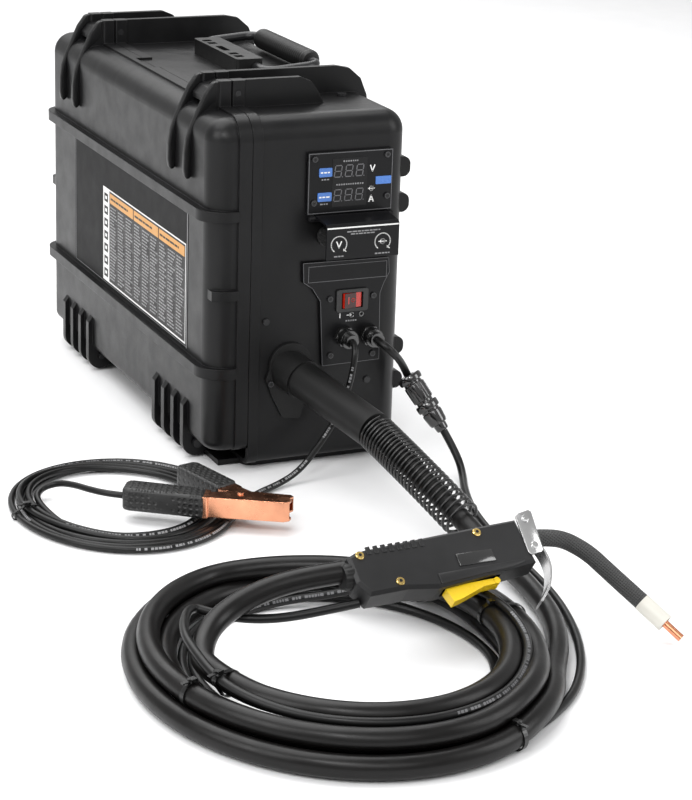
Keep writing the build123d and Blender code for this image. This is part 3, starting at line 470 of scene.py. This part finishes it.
LEAD_TURNS = 3.46
TRIGGER_IN = ((130, -322, 43), (140, -336, 20), (137, -356, 6), (120, -394, 4), (102, -450, 4),
              (90, -520, 4), (84, -600, 4), (76, -668, 4), (58, -734, 4), (34, -790, 4),
              (6, -834, 4), (-20, -862, 4))
TRIGGER_OUT = ((-277, -668, 48), (-262, -682, 45), (-240, -696, 42), (-212, -706, 42), (-180, -715, 47),
               (-146, -724, 54))
LEAD_COIL = (
    -37.1,
    ((0, 193.6), (0.07, 176), (0.11, 168), (0.68, 168), (0.78, 139), (1.9, 139), (2.0, 129.5), (2.64, 129.5),
     (2.70, 123), (2.77, 121), (2.82, 128), (2.86, 142), (2.91, 153), (2.96, 157.5), (3.27, 157.5),
     (3.33, 155), (3.39, 147), (3.44, 140), (3.48, 134)),
    ((0, 4), (2.64, 4), (2.70, 13), (2.77, 28), (2.82, 41), (2.86, 47.5), (2.91, 44), (2.96, 37), (3.04, 34),
     (3.27, 35), (3.33, 41), (3.39, 49), (3.44, 50), (3.48, 49)))
trigger_turns = coil_points(LEAD_COIL[0], LEAD_TURNS, *LEAD_COIL[1:])
trigger_route = TRIGGER_IN + tuple(trigger_turns) + TRIGGER_OUT
trigger_lead = cord_curve("trigger_lead_line", trigger_route, LEAD_D, THIN_LEAD)
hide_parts("trigger_lead")


# ================= Relief spring =================
SPRING_SPAN = (2.0, 148.0)
SPRING_R = 18.4
SPRING_WIRE_D = 3.0
CLOSE_PITCH = 4.6
CLOSE_LENGTH = 40           # beyond this the pitch grows
PITCH_GROWTH = 0.035
SPRING_STEP = math.radians(30)


def relief_helix():
    """Steel spring round the cable: close turns at the relief, open ones further out."""
    line = line_of(gun_cable)
    total = lengths_along(line)
    made = []
    distance = SPRING_SPAN[0]
    turn = 0.0
    side = Vector((0, 0, 1))
    while distance < SPRING_SPAN[1]:
        at, way = point_at(line, total, distance)
        side = (side - way * side.dot(way)).normalized()
        out = side * math.cos(turn) + way.cross(side) * math.sin(turn)
        made.append(tuple(at + out * SPRING_R))
        turn += SPRING_STEP
        pitch = CLOSE_PITCH + max(0, distance - CLOSE_LENGTH) * PITCH_GROWTH
        distance += pitch * SPRING_STEP / (2 * math.pi)
    return made


spring = cord_curve("relief_spring_coil", relief_helix(), SPRING_WIRE_D, SPRING)
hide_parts("relief_spring")


# ================= Printed panels and small marks =================
def new_piece(name, mesh, looks, body):
    """Object for a mesh, with its materials, riding on a body."""
    obj = bpy.data.objects.new(name, mesh)
    for look in looks:
        mesh.materials.append(look)
    scene.collection.objects.link(obj)
    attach(obj, body)
    return obj


class Art:
    """Thin printed shapes on a flat face: u and v run across and up the face, in mm."""

    def __init__(self, name, origin, across, up, body, slot, looks):
        self.name, self.body, self.slot, self.looks = name, body, slot, looks
        self.origin = Vector(origin)
        self.across = Vector(across).normalized()
        self.up = Vector(up).normalized()
        self.out = self.across.cross(self.up)
        self.mesh = bmesh.new()

    def at(self, u, v, depth):
        """Point in metres, from a place on the face and a height over it."""
        return (self.origin + self.across * u + self.up * v + self.out * depth) * MM

    def prism(self, corners, look, low, high):
        """Thin straight-sided shape between two heights over the face."""
        index = self.looks.index(look)
        rings = []
        for depth in (low, high):
            rings.append([self.mesh.verts.new(self.at(u, v, depth)) for u, v in corners])
        faces = [self.mesh.faces.new(rings[1]), self.mesh.faces.new(list(reversed(rings[0])))]
        for a in range(len(corners)):
            b = (a + 1) % len(corners)
            faces.append(self.mesh.faces.new((rings[0][a], rings[0][b], rings[1][b], rings[1][a])))
        for face in faces:
            face.material_index = index

    def rect(self, u0, v0, u1, v1, look, low=0.0, high=0.25):
        self.prism(((u0, v0), (u1, v0), (u1, v1), (u0, v1)), look, low, high)

    def frame(self, u0, v0, u1, v1, width, look, low=0.0, high=0.25):
        """Outline of a rectangle."""
        self.rect(u0, v0, u1, v0 + width, look, low, high)
        self.rect(u0, v1 - width, u1, v1, look, low, high)
        self.rect(u0, v0 + width, u0 + width, v1 - width, look, low, high)
        self.rect(u1 - width, v0 + width, u1, v1 - width, look, low, high)

    def stroke(self, points, width, look, low=0.0, high=0.25):
        """Line of an even width through some points."""
        for (u0, v0), (u1, v1) in zip(points, points[1:]):
            along = Vector((u1 - u0, v1 - v0)).normalized() * width / 2
            over = Vector((-along.y, along.x))
            a, b = Vector((u0, v0)) - along, Vector((u1, v1)) + along
            self.prism(((a - over)[:], (b - over)[:], (b + over)[:], (a + over)[:]), look, low, high)

    def arc(self, centre, radius, start, end, width, look, low=0.0, high=0.25, steps=20):
        angles = [math.radians(start + (end - start) * k / steps) for k in range(steps + 1)]
        self.stroke([(centre[0] + radius * math.cos(a), centre[1] + radius * math.sin(a)) for a in angles],
                    width, look, low, high)

    def dashes(self, u0, u1, v, height, look, low=0.0, high=0.25, shortest=2.0, longest=6.0):
        """A line of small bars that stands for print."""
        at = u0
        while at < u1 - 1:
            size = min(u1 - at, dice.uniform(shortest, longest))
            self.rect(at, v, at + size, v + height, look, low, high)
            at += size + height * 0.7

    def done(self):
        """Makes the piece."""
        mesh = bpy.data.meshes.new(self.name)
        self.mesh.to_mesh(mesh)
        self.mesh.free()
        return new_piece(self.name, mesh, self.looks, self.body)


# Label on the door: a blank title strip over a settings table.
label = Art("lid_label", (-106, 0, 0), (0, -1, 0), (0, 0, 1), "lid", "panel_plastic",
            [LABEL, INK_DIM, INK_WHITE, TABLE_DARK, ORANGE, INK_GREY])
label.rect(-168, 116.8, 200, 262.5, LABEL, -0.3, 0.35)
label.frame(-166, 118.5, 198, 261, 0.9, INK_DIM, 0.35, 0.45)
label.rect(197.6, 117.5, 199.4, 262, INK_GREY, 0.35, 0.45)
label.rect(-68, 121, 195, 227, INK_WHITE, 0.35, 0.5)
label.rect(-66, 123, -48, 225, INK_WHITE, 0.5, 0.6)
label.rect(-46.5, 123, 193.5, 225.5, TABLE_DARK, 0.5, 0.6)
LABEL_ROWS, ROW_PITCH = 7, 14.2
LABEL_COLUMNS, COLUMN_PITCH = 3, 79.5
PRINT_LINES, LINE_PITCH = 24, 3.5
for row in range(LABEL_ROWS):
    base = 126 + row * ROW_PITCH
    label.rect(-63.5, base, -51, base + 9.5, TABLE_DARK, 0.6, 0.7)
    label.rect(-60, base + 3, -54.5, base + 6.5, INK_WHITE, 0.7, 0.8)
for column in range(LABEL_COLUMNS):
    left = -44.5 + column * COLUMN_PITCH
    label.rect(left, 212.5, left + 77, 223.5, ORANGE, 0.6, 0.7)
    label.dashes(left + 3, left + 60, 216.8, 2.2, TABLE_DARK, 0.7, 0.8, 5, 12)
    for part in range(3):
        inner = left + part * 26
        label.rect(inner + 24.8, 124, inner + 25.3, 211, INK_DIM, 0.6, 0.7)
        for line in range(PRINT_LINES):
            end = inner + dice.uniform(15, 23.5)
            label.dashes(inner + 1.2, end, 207.5 - line * LINE_PITCH, 1.6, INK_GREY, 0.6, 0.7, 3, 8)
for line in range(1, 5):
    label.rect(-46.5, 124 + line * 17.4, 193.5, 124.5 + line * 17.4, INK_DIM, 0.6, 0.72)
label.done()


def seven_segments(art, u, v, width, height, look, low, high):
    """Unlit digit: its seven bars, leaning a little, and a decimal point."""
    lean = 0.12
    gap = 0.55

    def at(x, y):
        return (u + x * width + lean * y * height, v + y * height)

    for (x0, y0), (x1, y1) in (((0, 0), (1, 0)), ((0, 0.5), (1, 0.5)), ((0, 1), (1, 1)), ((0, 0), (0, 0.5)),
                               ((0, 0.5), (0, 1)), ((1, 0), (1, 0.5)), ((1, 0.5), (1, 1))):
        a, b = Vector(at(x0, y0)), Vector(at(x1, y1))
        inset = (b - a).normalized() * (gap + 0.5)
        art.stroke([(a + inset)[:], (b - inset)[:]], 1.0, look, low, high)
    art.rect(u + width + 1.2, v - 0.5, u + width + 2.2, v + 0.5, look, low, high)


meter = Art("meter_print_and_edge_highlight", (0, -268.2, 0), (1, 0, 0), (0, 0, 1), "root", "window_plastic",
            [INK_GREY, INK_WHITE, INK_DIM, BLUE])
for v in (304.0, 279.4):
    for digit in range(3):
        seven_segments(meter, 22.4 + digit * 11.8, v, 7.2, 11.6, INK_DIM, -0.1, 0.15)
meter.dashes(32, 48, 319.0, 1.5, INK_GREY, -0.1, 0.15, 1.2, 1.8)
meter.dashes(25, 56, 295.4, 1.5, INK_GREY, -0.1, 0.15, 1.2, 1.8)
meter.stroke([(61.9, 313.6), (64.2, 307.8), (66.5, 313.6)], 1.1, INK_WHITE, -0.4, 0.15)
meter.stroke([(61.4, 276.8), (63.7, 282.8), (66, 276.8)], 1.1, INK_WHITE, -0.4, 0.15)
meter.stroke([(62.6, 278.6), (64.8, 278.6)], 1.0, INK_WHITE, -0.4, 0.2)
meter.arc((63.7, 290), 2.2, 200, 520, 0.8, INK_WHITE, -0.4, 0.15, 14)
meter.stroke([(60.2, 290), (67.2, 290)], 0.7, INK_WHITE, -0.4, 0.15)
# Painted highlight: a thin lighter line round the meter panel's bent edges.
meter.frame(-5.2, 267.8, 86.2, 329.2, 0.7, INK_DIM, -0.3, 0.05)
meter.done()

lights = Art("indicator_print", (0, -268.8, 0), (1, 0, 0), (0, 0, 1), "root", "indicator_blue", [INK_WHITE])
for u0, u1, v in ((7.5, 18.5, 308.8), (6.5, 18.5, 283.8)):
    lights.dashes(u0, u1, v, 1.3, INK_WHITE, -0.1, 0.12, 2, 4)
lights.done()
small = Art("indicator_captions", (0, -268, 0), (1, 0, 0), (0, 0, 1), "root", "panel_plastic", [INK_GREY])
for u0, u1, v in ((9, 17, 301.5), (8, 17, 276.5)):
    small.dashes(u0, u1, v, 1.3, INK_GREY, -0.1, 0.12, 1.5, 3)
small.done()

dial = Art("cover_print", (0, -300.5, 0), (1, 0, 0), (0, 0, 1), "knob_cover", "panel_plastic",
           [INK_WHITE, INK_GREY, INK_DIM])
dial.rect(2.6, 259.6, 80.4, 261.0, INK_WHITE, -0.1, 0.2)
dial.dashes(24, 60, 255.3, 1.2, INK_GREY, -0.1, 0.15, 2, 5)
dial.dashes(28, 54, 252.8, 1.2, INK_GREY, -0.1, 0.15, 2, 5)
for u in (15.5, 63):
    dial.arc((u, 243.5), 8.4, -50, 230, 1.0, INK_WHITE, -0.1, 0.2)
    dial.stroke([(u + 7.6, 236.2), (u + 5.2, 238.4)], 0.9, INK_WHITE, -0.1, 0.2)
dial.stroke([(13, 246.4), (15.5, 240.4), (18, 246.4)], 1.1, INK_WHITE, -0.1, 0.2)
dial.arc((63, 243.5), 2.4, 200, 520, 0.9, INK_WHITE, -0.1, 0.2, 14)
dial.stroke([(58.8, 243.5), (67.2, 243.5)], 0.8, INK_WHITE, -0.1, 0.2)
dial.dashes(10.5, 22, 230.8, 1.3, INK_GREY, -0.1, 0.15, 2, 4)
dial.dashes(55, 71, 230.8, 1.3, INK_GREY, -0.1, 0.15, 2, 4)
dial.done()

switch_print_and_edge_highlight = Art("switch_print_and_edge_highlight", (0, -268, 0), (1, 0, 0), (0, 0, 1), "root", "panel_plastic",
                   [INK_WHITE, INK_GREY, INK_DIM])
switch_print_and_edge_highlight.stroke([(33.5, 157.2), (33.5, 161.4)], 0.9, INK_WHITE, -0.1, 0.15)
switch_print_and_edge_highlight.arc((57.5, 159.3), 2.2, 0, 360, 0.8, INK_WHITE, -0.1, 0.15, 16)
switch_print_and_edge_highlight.arc((46.5, 159.3), 2.4, 40, 320, 0.7, INK_WHITE, -0.1, 0.15, 14)
switch_print_and_edge_highlight.stroke([(41.2, 159.3), (46.2, 159.3)], 0.7, INK_WHITE, -0.1, 0.15)
switch_print_and_edge_highlight.stroke([(44.6, 161), (46.4, 159.3), (44.6, 157.6)], 0.6, INK_WHITE, -0.1, 0.15)
switch_print_and_edge_highlight.dashes(40, 52, 152.6, 1.5, INK_GREY, -0.1, 0.15, 1.2, 1.8)
switch_print_and_edge_highlight.frame(-2.5, 196.6, 84.2, 213.4, 0.5, INK_DIM, -0.1, 0.1)
# Painted highlight: a thin lighter line along the switch plate's edges.
outline = ((-8.3, 217.4), (-7.3, 197.4), (2.6, 190.4), (11.6, 176.3), (15.6, 107.6), (78.9, 109),
           (77.4, 179.7), (81.4, 190.3), (87.3, 201.2), (85.9, 216.4), (-8.3, 217.4))
switch_print_and_edge_highlight.stroke(outline, 0.45, INK_DIM, -0.1, 0.08)
switch_print_and_edge_highlight.done()

# Painted shade and highlight on the panel screws: dark crossed strokes stand for their shaded cross recesses,
# and a lighter ring is a painted highlight on each rim.
SCREWS = ((1, 323.5), (80, 324), (1, 279), (81, 281.5), (22, 178), (70, 178), (24, 118), (71, 116), (-41, 94))
screw_shade_and_highlight_marks = Art("screw_shade_and_highlight_marks", (0, -269.8, 0), (1, 0, 0), (0, 0, 1), "root", "dark_steel",
                  [INK_DIM, SCREW_RECESS_SHADE])
for index, (u, v) in enumerate(SCREWS):
    turn = math.radians(20 + 31 * index)
    screw_shade_and_highlight_marks.arc((u, v), 2.5, 0, 360, 0.5, INK_DIM, -0.3, 0.1, 16)
    for angle in (turn, turn + math.pi / 2):
        over = Vector((math.cos(angle), math.sin(angle))) * 1.7
        screw_shade_and_highlight_marks.stroke([(u - over.x, v - over.y), (u + over.x, v + over.y)], 0.8, SCREW_RECESS_SHADE, -0.3, 0.15)
screw_shade_and_highlight_marks.done()


# ================= Solid details =================
def prism_piece(name, place, corners, low, high, look, body, soften=0.0, segments=3):
    """Straight-sided outline on a plane (a 4x4 frame in mm), from one height to another, edges softened."""
    shape = bmesh.new()
    rings = []
    for depth in (low, high):
        rings.append([shape.verts.new(place @ Vector((u, v, depth)) * MM) for u, v in corners])
    shape.faces.new(rings[1])
    shape.faces.new(list(reversed(rings[0])))
    for a in range(len(corners)):
        b = (a + 1) % len(corners)
        shape.faces.new((rings[0][a], rings[0][b], rings[1][b], rings[1][a]))
    bmesh.ops.recalc_face_normals(shape, faces=shape.faces)
    if soften:
        bmesh.ops.bevel(shape, geom=shape.edges[:], offset=soften * MM, segments=segments, profile=0.5,
                        affect="EDGES", clamp_overlap=True)
    for face in shape.faces:
        face.smooth = bool(soften)
    mesh = bpy.data.meshes.new(name)
    shape.to_mesh(mesh)
    shape.free()
    return new_piece(name, mesh, [look], body)


def plane_at(origin, across, out):
    """4x4 frame in mm with local x across and local z out."""
    out = Vector(out).normalized()
    across = Vector(across)
    across = (across - out * across.dot(out)).normalized()
    return Matrix.Translation(Vector(origin)) @ Matrix((across, out.cross(across), out)).transposed().to_4x4()


def lathe(name, start, end, profile, look, body, flutes=0, flute_depth=0.0, flute_span=(0, 0),
          segments=64):
    """Turned piece between two points in mm; the profile gives (share of length, radius)."""
    start, end = Vector(start), Vector(end)
    axis = (end - start).normalized()
    place = plane_at(start, axis.orthogonal(), axis)
    length = (end - start).length
    shape = bmesh.new()
    rings = []
    for share, radius in profile:
        ring = []
        for k in range(segments):
            angle = 2 * math.pi * k / segments
            cut = 0.0
            if flutes and flute_span[0] <= share <= flute_span[1]:
                cut = flute_depth * max(0.0, math.cos(angle * flutes)) ** 2
            size = radius - cut
            ring.append(shape.verts.new(place @ Vector((size * math.cos(angle), size * math.sin(angle),
                                                        share * length)) * MM))
        rings.append(ring)
    for low, high in zip(rings, rings[1:]):
        for k in range(segments):
            n = (k + 1) % segments
            shape.faces.new((low[k], low[n], high[n], high[k]))
    shape.faces.new(list(reversed(rings[0])))
    shape.faces.new(rings[-1])
    bmesh.ops.recalc_face_normals(shape, faces=shape.faces)
    for face in shape.faces:
        face.smooth = len(face.verts) == 4
    mesh = bpy.data.meshes.new(name)
    shape.to_mesh(mesh)
    shape.free()
    obj = new_piece(name, mesh, [look], body)
    sharp = obj.modifiers.new("sharp", "EDGE_SPLIT")
    sharp.split_angle = math.radians(35)
    return obj


# Plug and socket between the control lead and the trigger lead.
connector_profile = [(0, 4.4), (0.02, 8.6), (0.03, 12.2), (0.05, 12.9), (0.10, 12.9), (0.13, 12.2),
                     (0.14, 9.8), (0.17, 9.8), (0.18, 10.9), (0.20, 11.2), (0.44, 11.0), (0.46, 10.2),
                     (0.465, 9.0), (0.50, 9.0), (0.505, 11.6), (0.52, 12.2), (0.60, 12.2), (0.62, 11.6),
                     (0.625, 9.8),
                     (0.66, 9.6), (0.67, 10.6), (0.70, 10.8), (0.84, 9.8), (0.88, 8.8), (0.89, 7.0),
                     (0.97, 6.6), (0.99, 6.0), (1.0, 4.4)]
connector = lathe("control_plug", (102, -289, 96), (130, -322, 43), connector_profile, GLAND, "root",
                  14, 1.0, (0.19, 0.45))
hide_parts("control_connector")

# Moulded sleeve on the carrying handle, ribbed for grip.
GRIP_LENGTH = 142.0
RIB_PITCH = 5.0
RIB_TOP_R, RIB_ROOT_R = 11.5, 10.5
rib_steps = 2 * int(GRIP_LENGTH / RIB_PITCH) - 2
sleeve_profile = [(0, 5.2), (0.005, 9.0), (0.03, 11.4)]
for step in range(1, rib_steps):
    sleeve_profile.append((0.03 + 0.94 * step / rib_steps, RIB_TOP_R if step % 2 else RIB_ROOT_R))
sleeve_profile += [(0.97, 11.4), (0.995, 9.0), (1, 5.2)]
sleeve = lathe("handle_sleeve", (86, -56, 379), (86, -56 + GRIP_LENGTH, 379), sleeve_profile, GRIP, "handle")
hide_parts("handle_grip")

# Claws that carry the door's top guards down over its corner.
CLAW = ((-80, 393.6), (-84, 391.8), (-92, 381), (-106, 351), (-111, 336), (-113.2, 322), (-113.6, 306),
        (-112.4, 299), (-110, 296.5), (-107.5, 297.5), (-105, 301), (-104.5, 345), (-95, 362), (-84, 372),
        (-80, 374))
CLAW_HALF = 3.7
for index, y in enumerate((-203, -157, 157, 203)):
    across_door = plane_at((0, y, 0), (1, 0, 0), (0, -1, 0))
    prism_piece(f"guard_claw_{index + 1}", across_door, CLAW, -CLAW_HALF, CLAW_HALF, CASE, "lid",
                1.2, 3)

# Gun details, in the gun's own frame.
GUN = plane_at((-143, -704, 77), (1, 0.036, 0), (0.0217, -0.602, 0.799))
prism_piece("gun_name_plate", GUN, ((89, -21), (124, -21), (124, -9), (89, -9)), 12.6, 14.2, GLAND, "root",
            0.5, 2)
prism_piece("gun_lower_panel", GUN, ((66, -35), (136, -29.5), (150, -26.5), (150, -23.5), (66, -24.5)),
            12.4, 13.9, GUN_PLASTIC, "root", 0.6, 2)
# Brass screw rings, each with a raised dark hexagon: painted shade for its socket recess.
for index, (u, v) in enumerate(((3, 4), (30, -26), (117, 9))):
    lathe(f"gun_screw_ring_{index + 1}", GUN @ Vector((u, v, 12.8)), GUN @ Vector((u, v, 14.8)),
          [(0, 3.9), (0.6, 3.9), (1, 3.2)], SCREW_BRASS, "root", segments=32)
    lathe(f"gun_screw_socket_shade_{index + 1}", GUN @ Vector((u, v, 14.0)), GUN @ Vector((u, v, 15.0)),
          [(0, 1.7), (1, 1.6)], SCREW_RECESS_SHADE, "root", segments=6)
for index in range(8):
    u = 10 + index * 7.2
    prism_piece(f"gun_grip_bar_{index + 1}", GUN, ((u, 11.2), (u + 4.4, 11.5), (u + 4.4, 3.5), (u, 3.5)),
                12.2, 13.7, GUN_PLASTIC, "root", 0.5, 2)


def rounded_line(points, rounds=3):
    """Corner-cut copy of an open line of points."""
    points = [Vector(p) for p in points]
    for _ in range(rounds):
        finer = [points[0]]
        for a, b in zip(points, points[1:]):
            finer += [a * 0.75 + b * 0.25, a * 0.25 + b * 0.75]
        points = finer + [points[-1]]
    return points


# Hanger at the front of the handle: a screwed plate and a curved tongue.
tongue = rounded_line(((168.6, -4), (173.5, -20), (172, -36), (163, -53), (149.5, -65.5)))
tongue_back = [p + Vector((1.9, -0.6)) for p in reversed(tongue)]
tongue_piece = prism_piece("gun_hanger_tongue", GUN, [p[:] for p in tongue + tongue_back], -2.5, 12.5, STEEL,
                           "root")
prism_piece("gun_hanger_plate", GUN, ((158.5, 18.5), (161, 20.6), (173, 22.6), (175.3, 20.5),
                                      (171.4, -17.5), (169, -20), (158.5, -21.3), (156.3, -19)),
            12.8, 15.0, STEEL, "root", 0.4, 2)
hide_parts("gun_bracket")
for index, (u, v) in enumerate(((166.8, 14.5), (164.6, -13))):
    lathe(f"hanger_screw_{index + 1}", GUN @ Vector((u, v, 14.8)), GUN @ Vector((u, v, 17.0)),
          [(0, 3.6), (0.5, 3.6), (1, 2.8)], STEEL, "root", segments=32)
lathe("gun_rear_collar", GUN @ Vector((-14, -7, 0)), GUN @ Vector((1, -7, 0)),
      [(0, 10.3), (0.1, 11.6), (0.75, 12.6), (1, 12.4)], RUBBER, "root", 10, 0.8,
      (0.05, 0.8))

# Clamp grips over the two arms.
CLAMP = plane_at((-125, -402, 0), (0.866, -0.5, 0), (0, 0, 1))
LOWER_GRIP = ((-33, -20), (-33, 4.5), (-60, 10.5), (-108, 16), (-114, 11), (-114, -9), (-108, -12),
              (-60, -16.5))
UPPER_GRIP = ((-9, 34), (-54, 80), (-61, 80), (-74, 67), (-72, 60), (-25, 13))
GRIP_SOFTENING = 5.0
prism_piece("clamp_lower_grip", CLAMP, LOWER_GRIP, 12.4, 35.4, CLAMP_GRIP, "root",
            GRIP_SOFTENING, 5)
prism_piece("clamp_upper_grip", CLAMP, UPPER_GRIP, 13.4, 34.6, CLAMP_GRIP, "clamp_jaw",
            GRIP_SOFTENING, 5)


def hull_of(circles, steps=32):
    """Outline of a band pulled tight round some circles (distance, height, radius)."""
    outline = []
    for k in range(steps):
        way = Vector((math.cos(2 * math.pi * k / steps), math.sin(2 * math.pi * k / steps)))
        far = max(circles, key=lambda c: way.x * c[0] + way.y * c[1] + c[2])
        outline.append(Vector(far[:2]) + way * far[2])
    return outline


def band(name, centre, ray, circles, width=4.6, thick=1.2, tail=9.0):
    """Cable tie pulled round circles (distance along the ray from the centre, height, radius)."""
    over = Vector((-ray.y, ray.x, 0))
    points = hull_of(circles)
    middle = sum(points, Vector((0, 0))) / len(points)
    base = Vector((*centre, 0))
    shape = bmesh.new()
    rings = []
    for p in points:
        away = (p - middle).normalized()
        ring = []
        for push, shift in ((0, -width / 2), (thick, -width / 2), (thick, width / 2), (0, width / 2)):
            q = p + away * push
            ring.append(shape.verts.new((base + ray * q.x + over * shift + Vector((0, 0, max(q.y, 0)))) * MM))
        rings.append(ring)
    for low, high in zip(rings, rings[1:] + rings[:1]):
        for k in range(4):
            n = (k + 1) % 4
            shape.faces.new((low[k], low[n], high[n], high[k]))
    top = max(points, key=lambda p: p.y)
    seat = base + ray * top.x + Vector((0, 0, top.y + 2.0))
    for size, shift in (((6.2, 5.6, 4.0), 0.0), ((tail, 3.2, 1.0), tail / 2 + 2)):
        made = bmesh.ops.create_cube(shape, size=1.0)
        turned = Matrix((ray, over, Vector((0, 0, 1)))).transposed().to_4x4()
        stretched = Matrix.Diagonal(Vector(size) * MM).to_4x4()
        place = Matrix.Translation((seat + ray * shift) * MM) @ turned @ stretched
        bmesh.ops.transform(shape, matrix=place, verts=made["verts"])
    bmesh.ops.recalc_face_normals(shape, faces=shape.faces)
    mesh = bpy.data.meshes.new(name)
    shape.to_mesh(mesh)
    shape.free()
    return new_piece(name, mesh, [TIE], "root")


def tie(name, angle, strands):
    """Cable tie round some strands of the cable's coil; each is (coil, turn number, radius)."""
    turn = math.radians(angle)
    ray = Vector((COIL_OVAL.x * math.cos(turn), COIL_OVAL.y * math.sin(turn), 0)).normalized()
    circles = []
    for (start, radius_keys, height_keys), lap, size in strands:
        at = coil_place(start, (start - angle) % 360 / 360 + lap, radius_keys, height_keys)
        circles.append(((at.xy - COIL).length, at.z, size + 0.3))
    band(name, COIL, ray, circles)


tie("coil_tie_1", -158, ((CABLE_COIL, 3, 10), (LEAD_COIL, 3, 4)))
tie("coil_tie_2", -164, ((CABLE_COIL, 1, 10), (CABLE_COIL, 2, 10)))
tie("coil_tie_3", -2, ((CABLE_COIL, 2, 10), (CABLE_COIL, 1, 10)))
tie("coil_tie_4", -66, ((CABLE_COIL, 0, 10),))
gathered = [sense_place((180 + SENSE_START) / 360 + lap) for lap in range(5)]
strands = [((at.xy - SENSE_COIL).length, at.z, 3.6) for at in gathered]
band("sense_tie", SENSE_COIL, Vector((-1, 0, 0)), strands, width=3.6, thick=1.0, tail=8.0)

# Painted shade on the rocker: its left part is a darker copy of its red, with its two marks in the red; its
# right end stays bright.
rocker_shade_and_print = Art("rocker_shade_and_print", (36.6, -272.6, 0), (9.4, 2.0, 0), (0, 0, 1), "power_rocker", "rocker_red",
                   [ROCKER_SHADE, ROCKER_RED])
rocker_shade_and_print.rect(-0.1, 167.5, 13.8, 183.0, ROCKER_SHADE, -0.3, 0.3)
rocker_shade_and_print.stroke([(4.6, 172.5), (4.6, 178.5)], 1.1, ROCKER_RED, 0.25, 0.4)
rocker_shade_and_print.arc((10.0, 175.5), 1.9, 0, 360, 0.8, ROCKER_RED, 0.25, 0.4, 14)
rocker_shade_and_print.done()


def print_along(name, curve_object, spans, radius, height, look, lean):
    """Faint printed flecks along a lead, on its upper side."""
    line = line_of(curve_object)
    total = lengths_along(line)
    shape = bmesh.new()
    for start, end in spans:
        distance = start
        while distance < end:
            size = dice.uniform(1.2, 3.4)
            corners = []
            for along, across in ((0, -1), (size, -1), (size, 1), (0, 1)):
                at, way = point_at(line, total, distance + along)
                flat = way.cross(Vector(lean)).normalized()
                top = flat.cross(way).normalized()
                angle = across * height / 2 / radius
                out = top * math.cos(angle) + flat * math.sin(angle)
                corners.append(shape.verts.new((at + out * (radius + 0.12)) * MM))
            shape.faces.new(corners)
            distance += size + dice.choice((0.9, 0.9, 0.9, 3.5))
    mesh = bpy.data.meshes.new(name)
    shape.to_mesh(mesh)
    shape.free()
    piece = new_piece(name, mesh, [look], "root")
    solid = piece.modifiers.new("thickness", "SOLIDIFY")
    solid.thickness = 0.15 * MM
    solid.offset = 0


SENSE_PRINT = ((28, 112), (140, 222), (300, 420), (700, 860), (1250, 1400), (2100, 2300), (2900, 3050))
TRIGGER_PRINT = ((900, 1150), (3280, 3480), (3000, 3150))
print_along("sense_lead_print", sense_lead, SENSE_PRINT, SENSE_D / 2, 2.2, INK_GREY, (-0.45, -0.75, 0.5))
print_along("trigger_lead_print", trigger_lead, TRIGGER_PRINT, LEAD_D / 2, 2.4, INK_DIM, (-0.3, -0.8, 0.55))
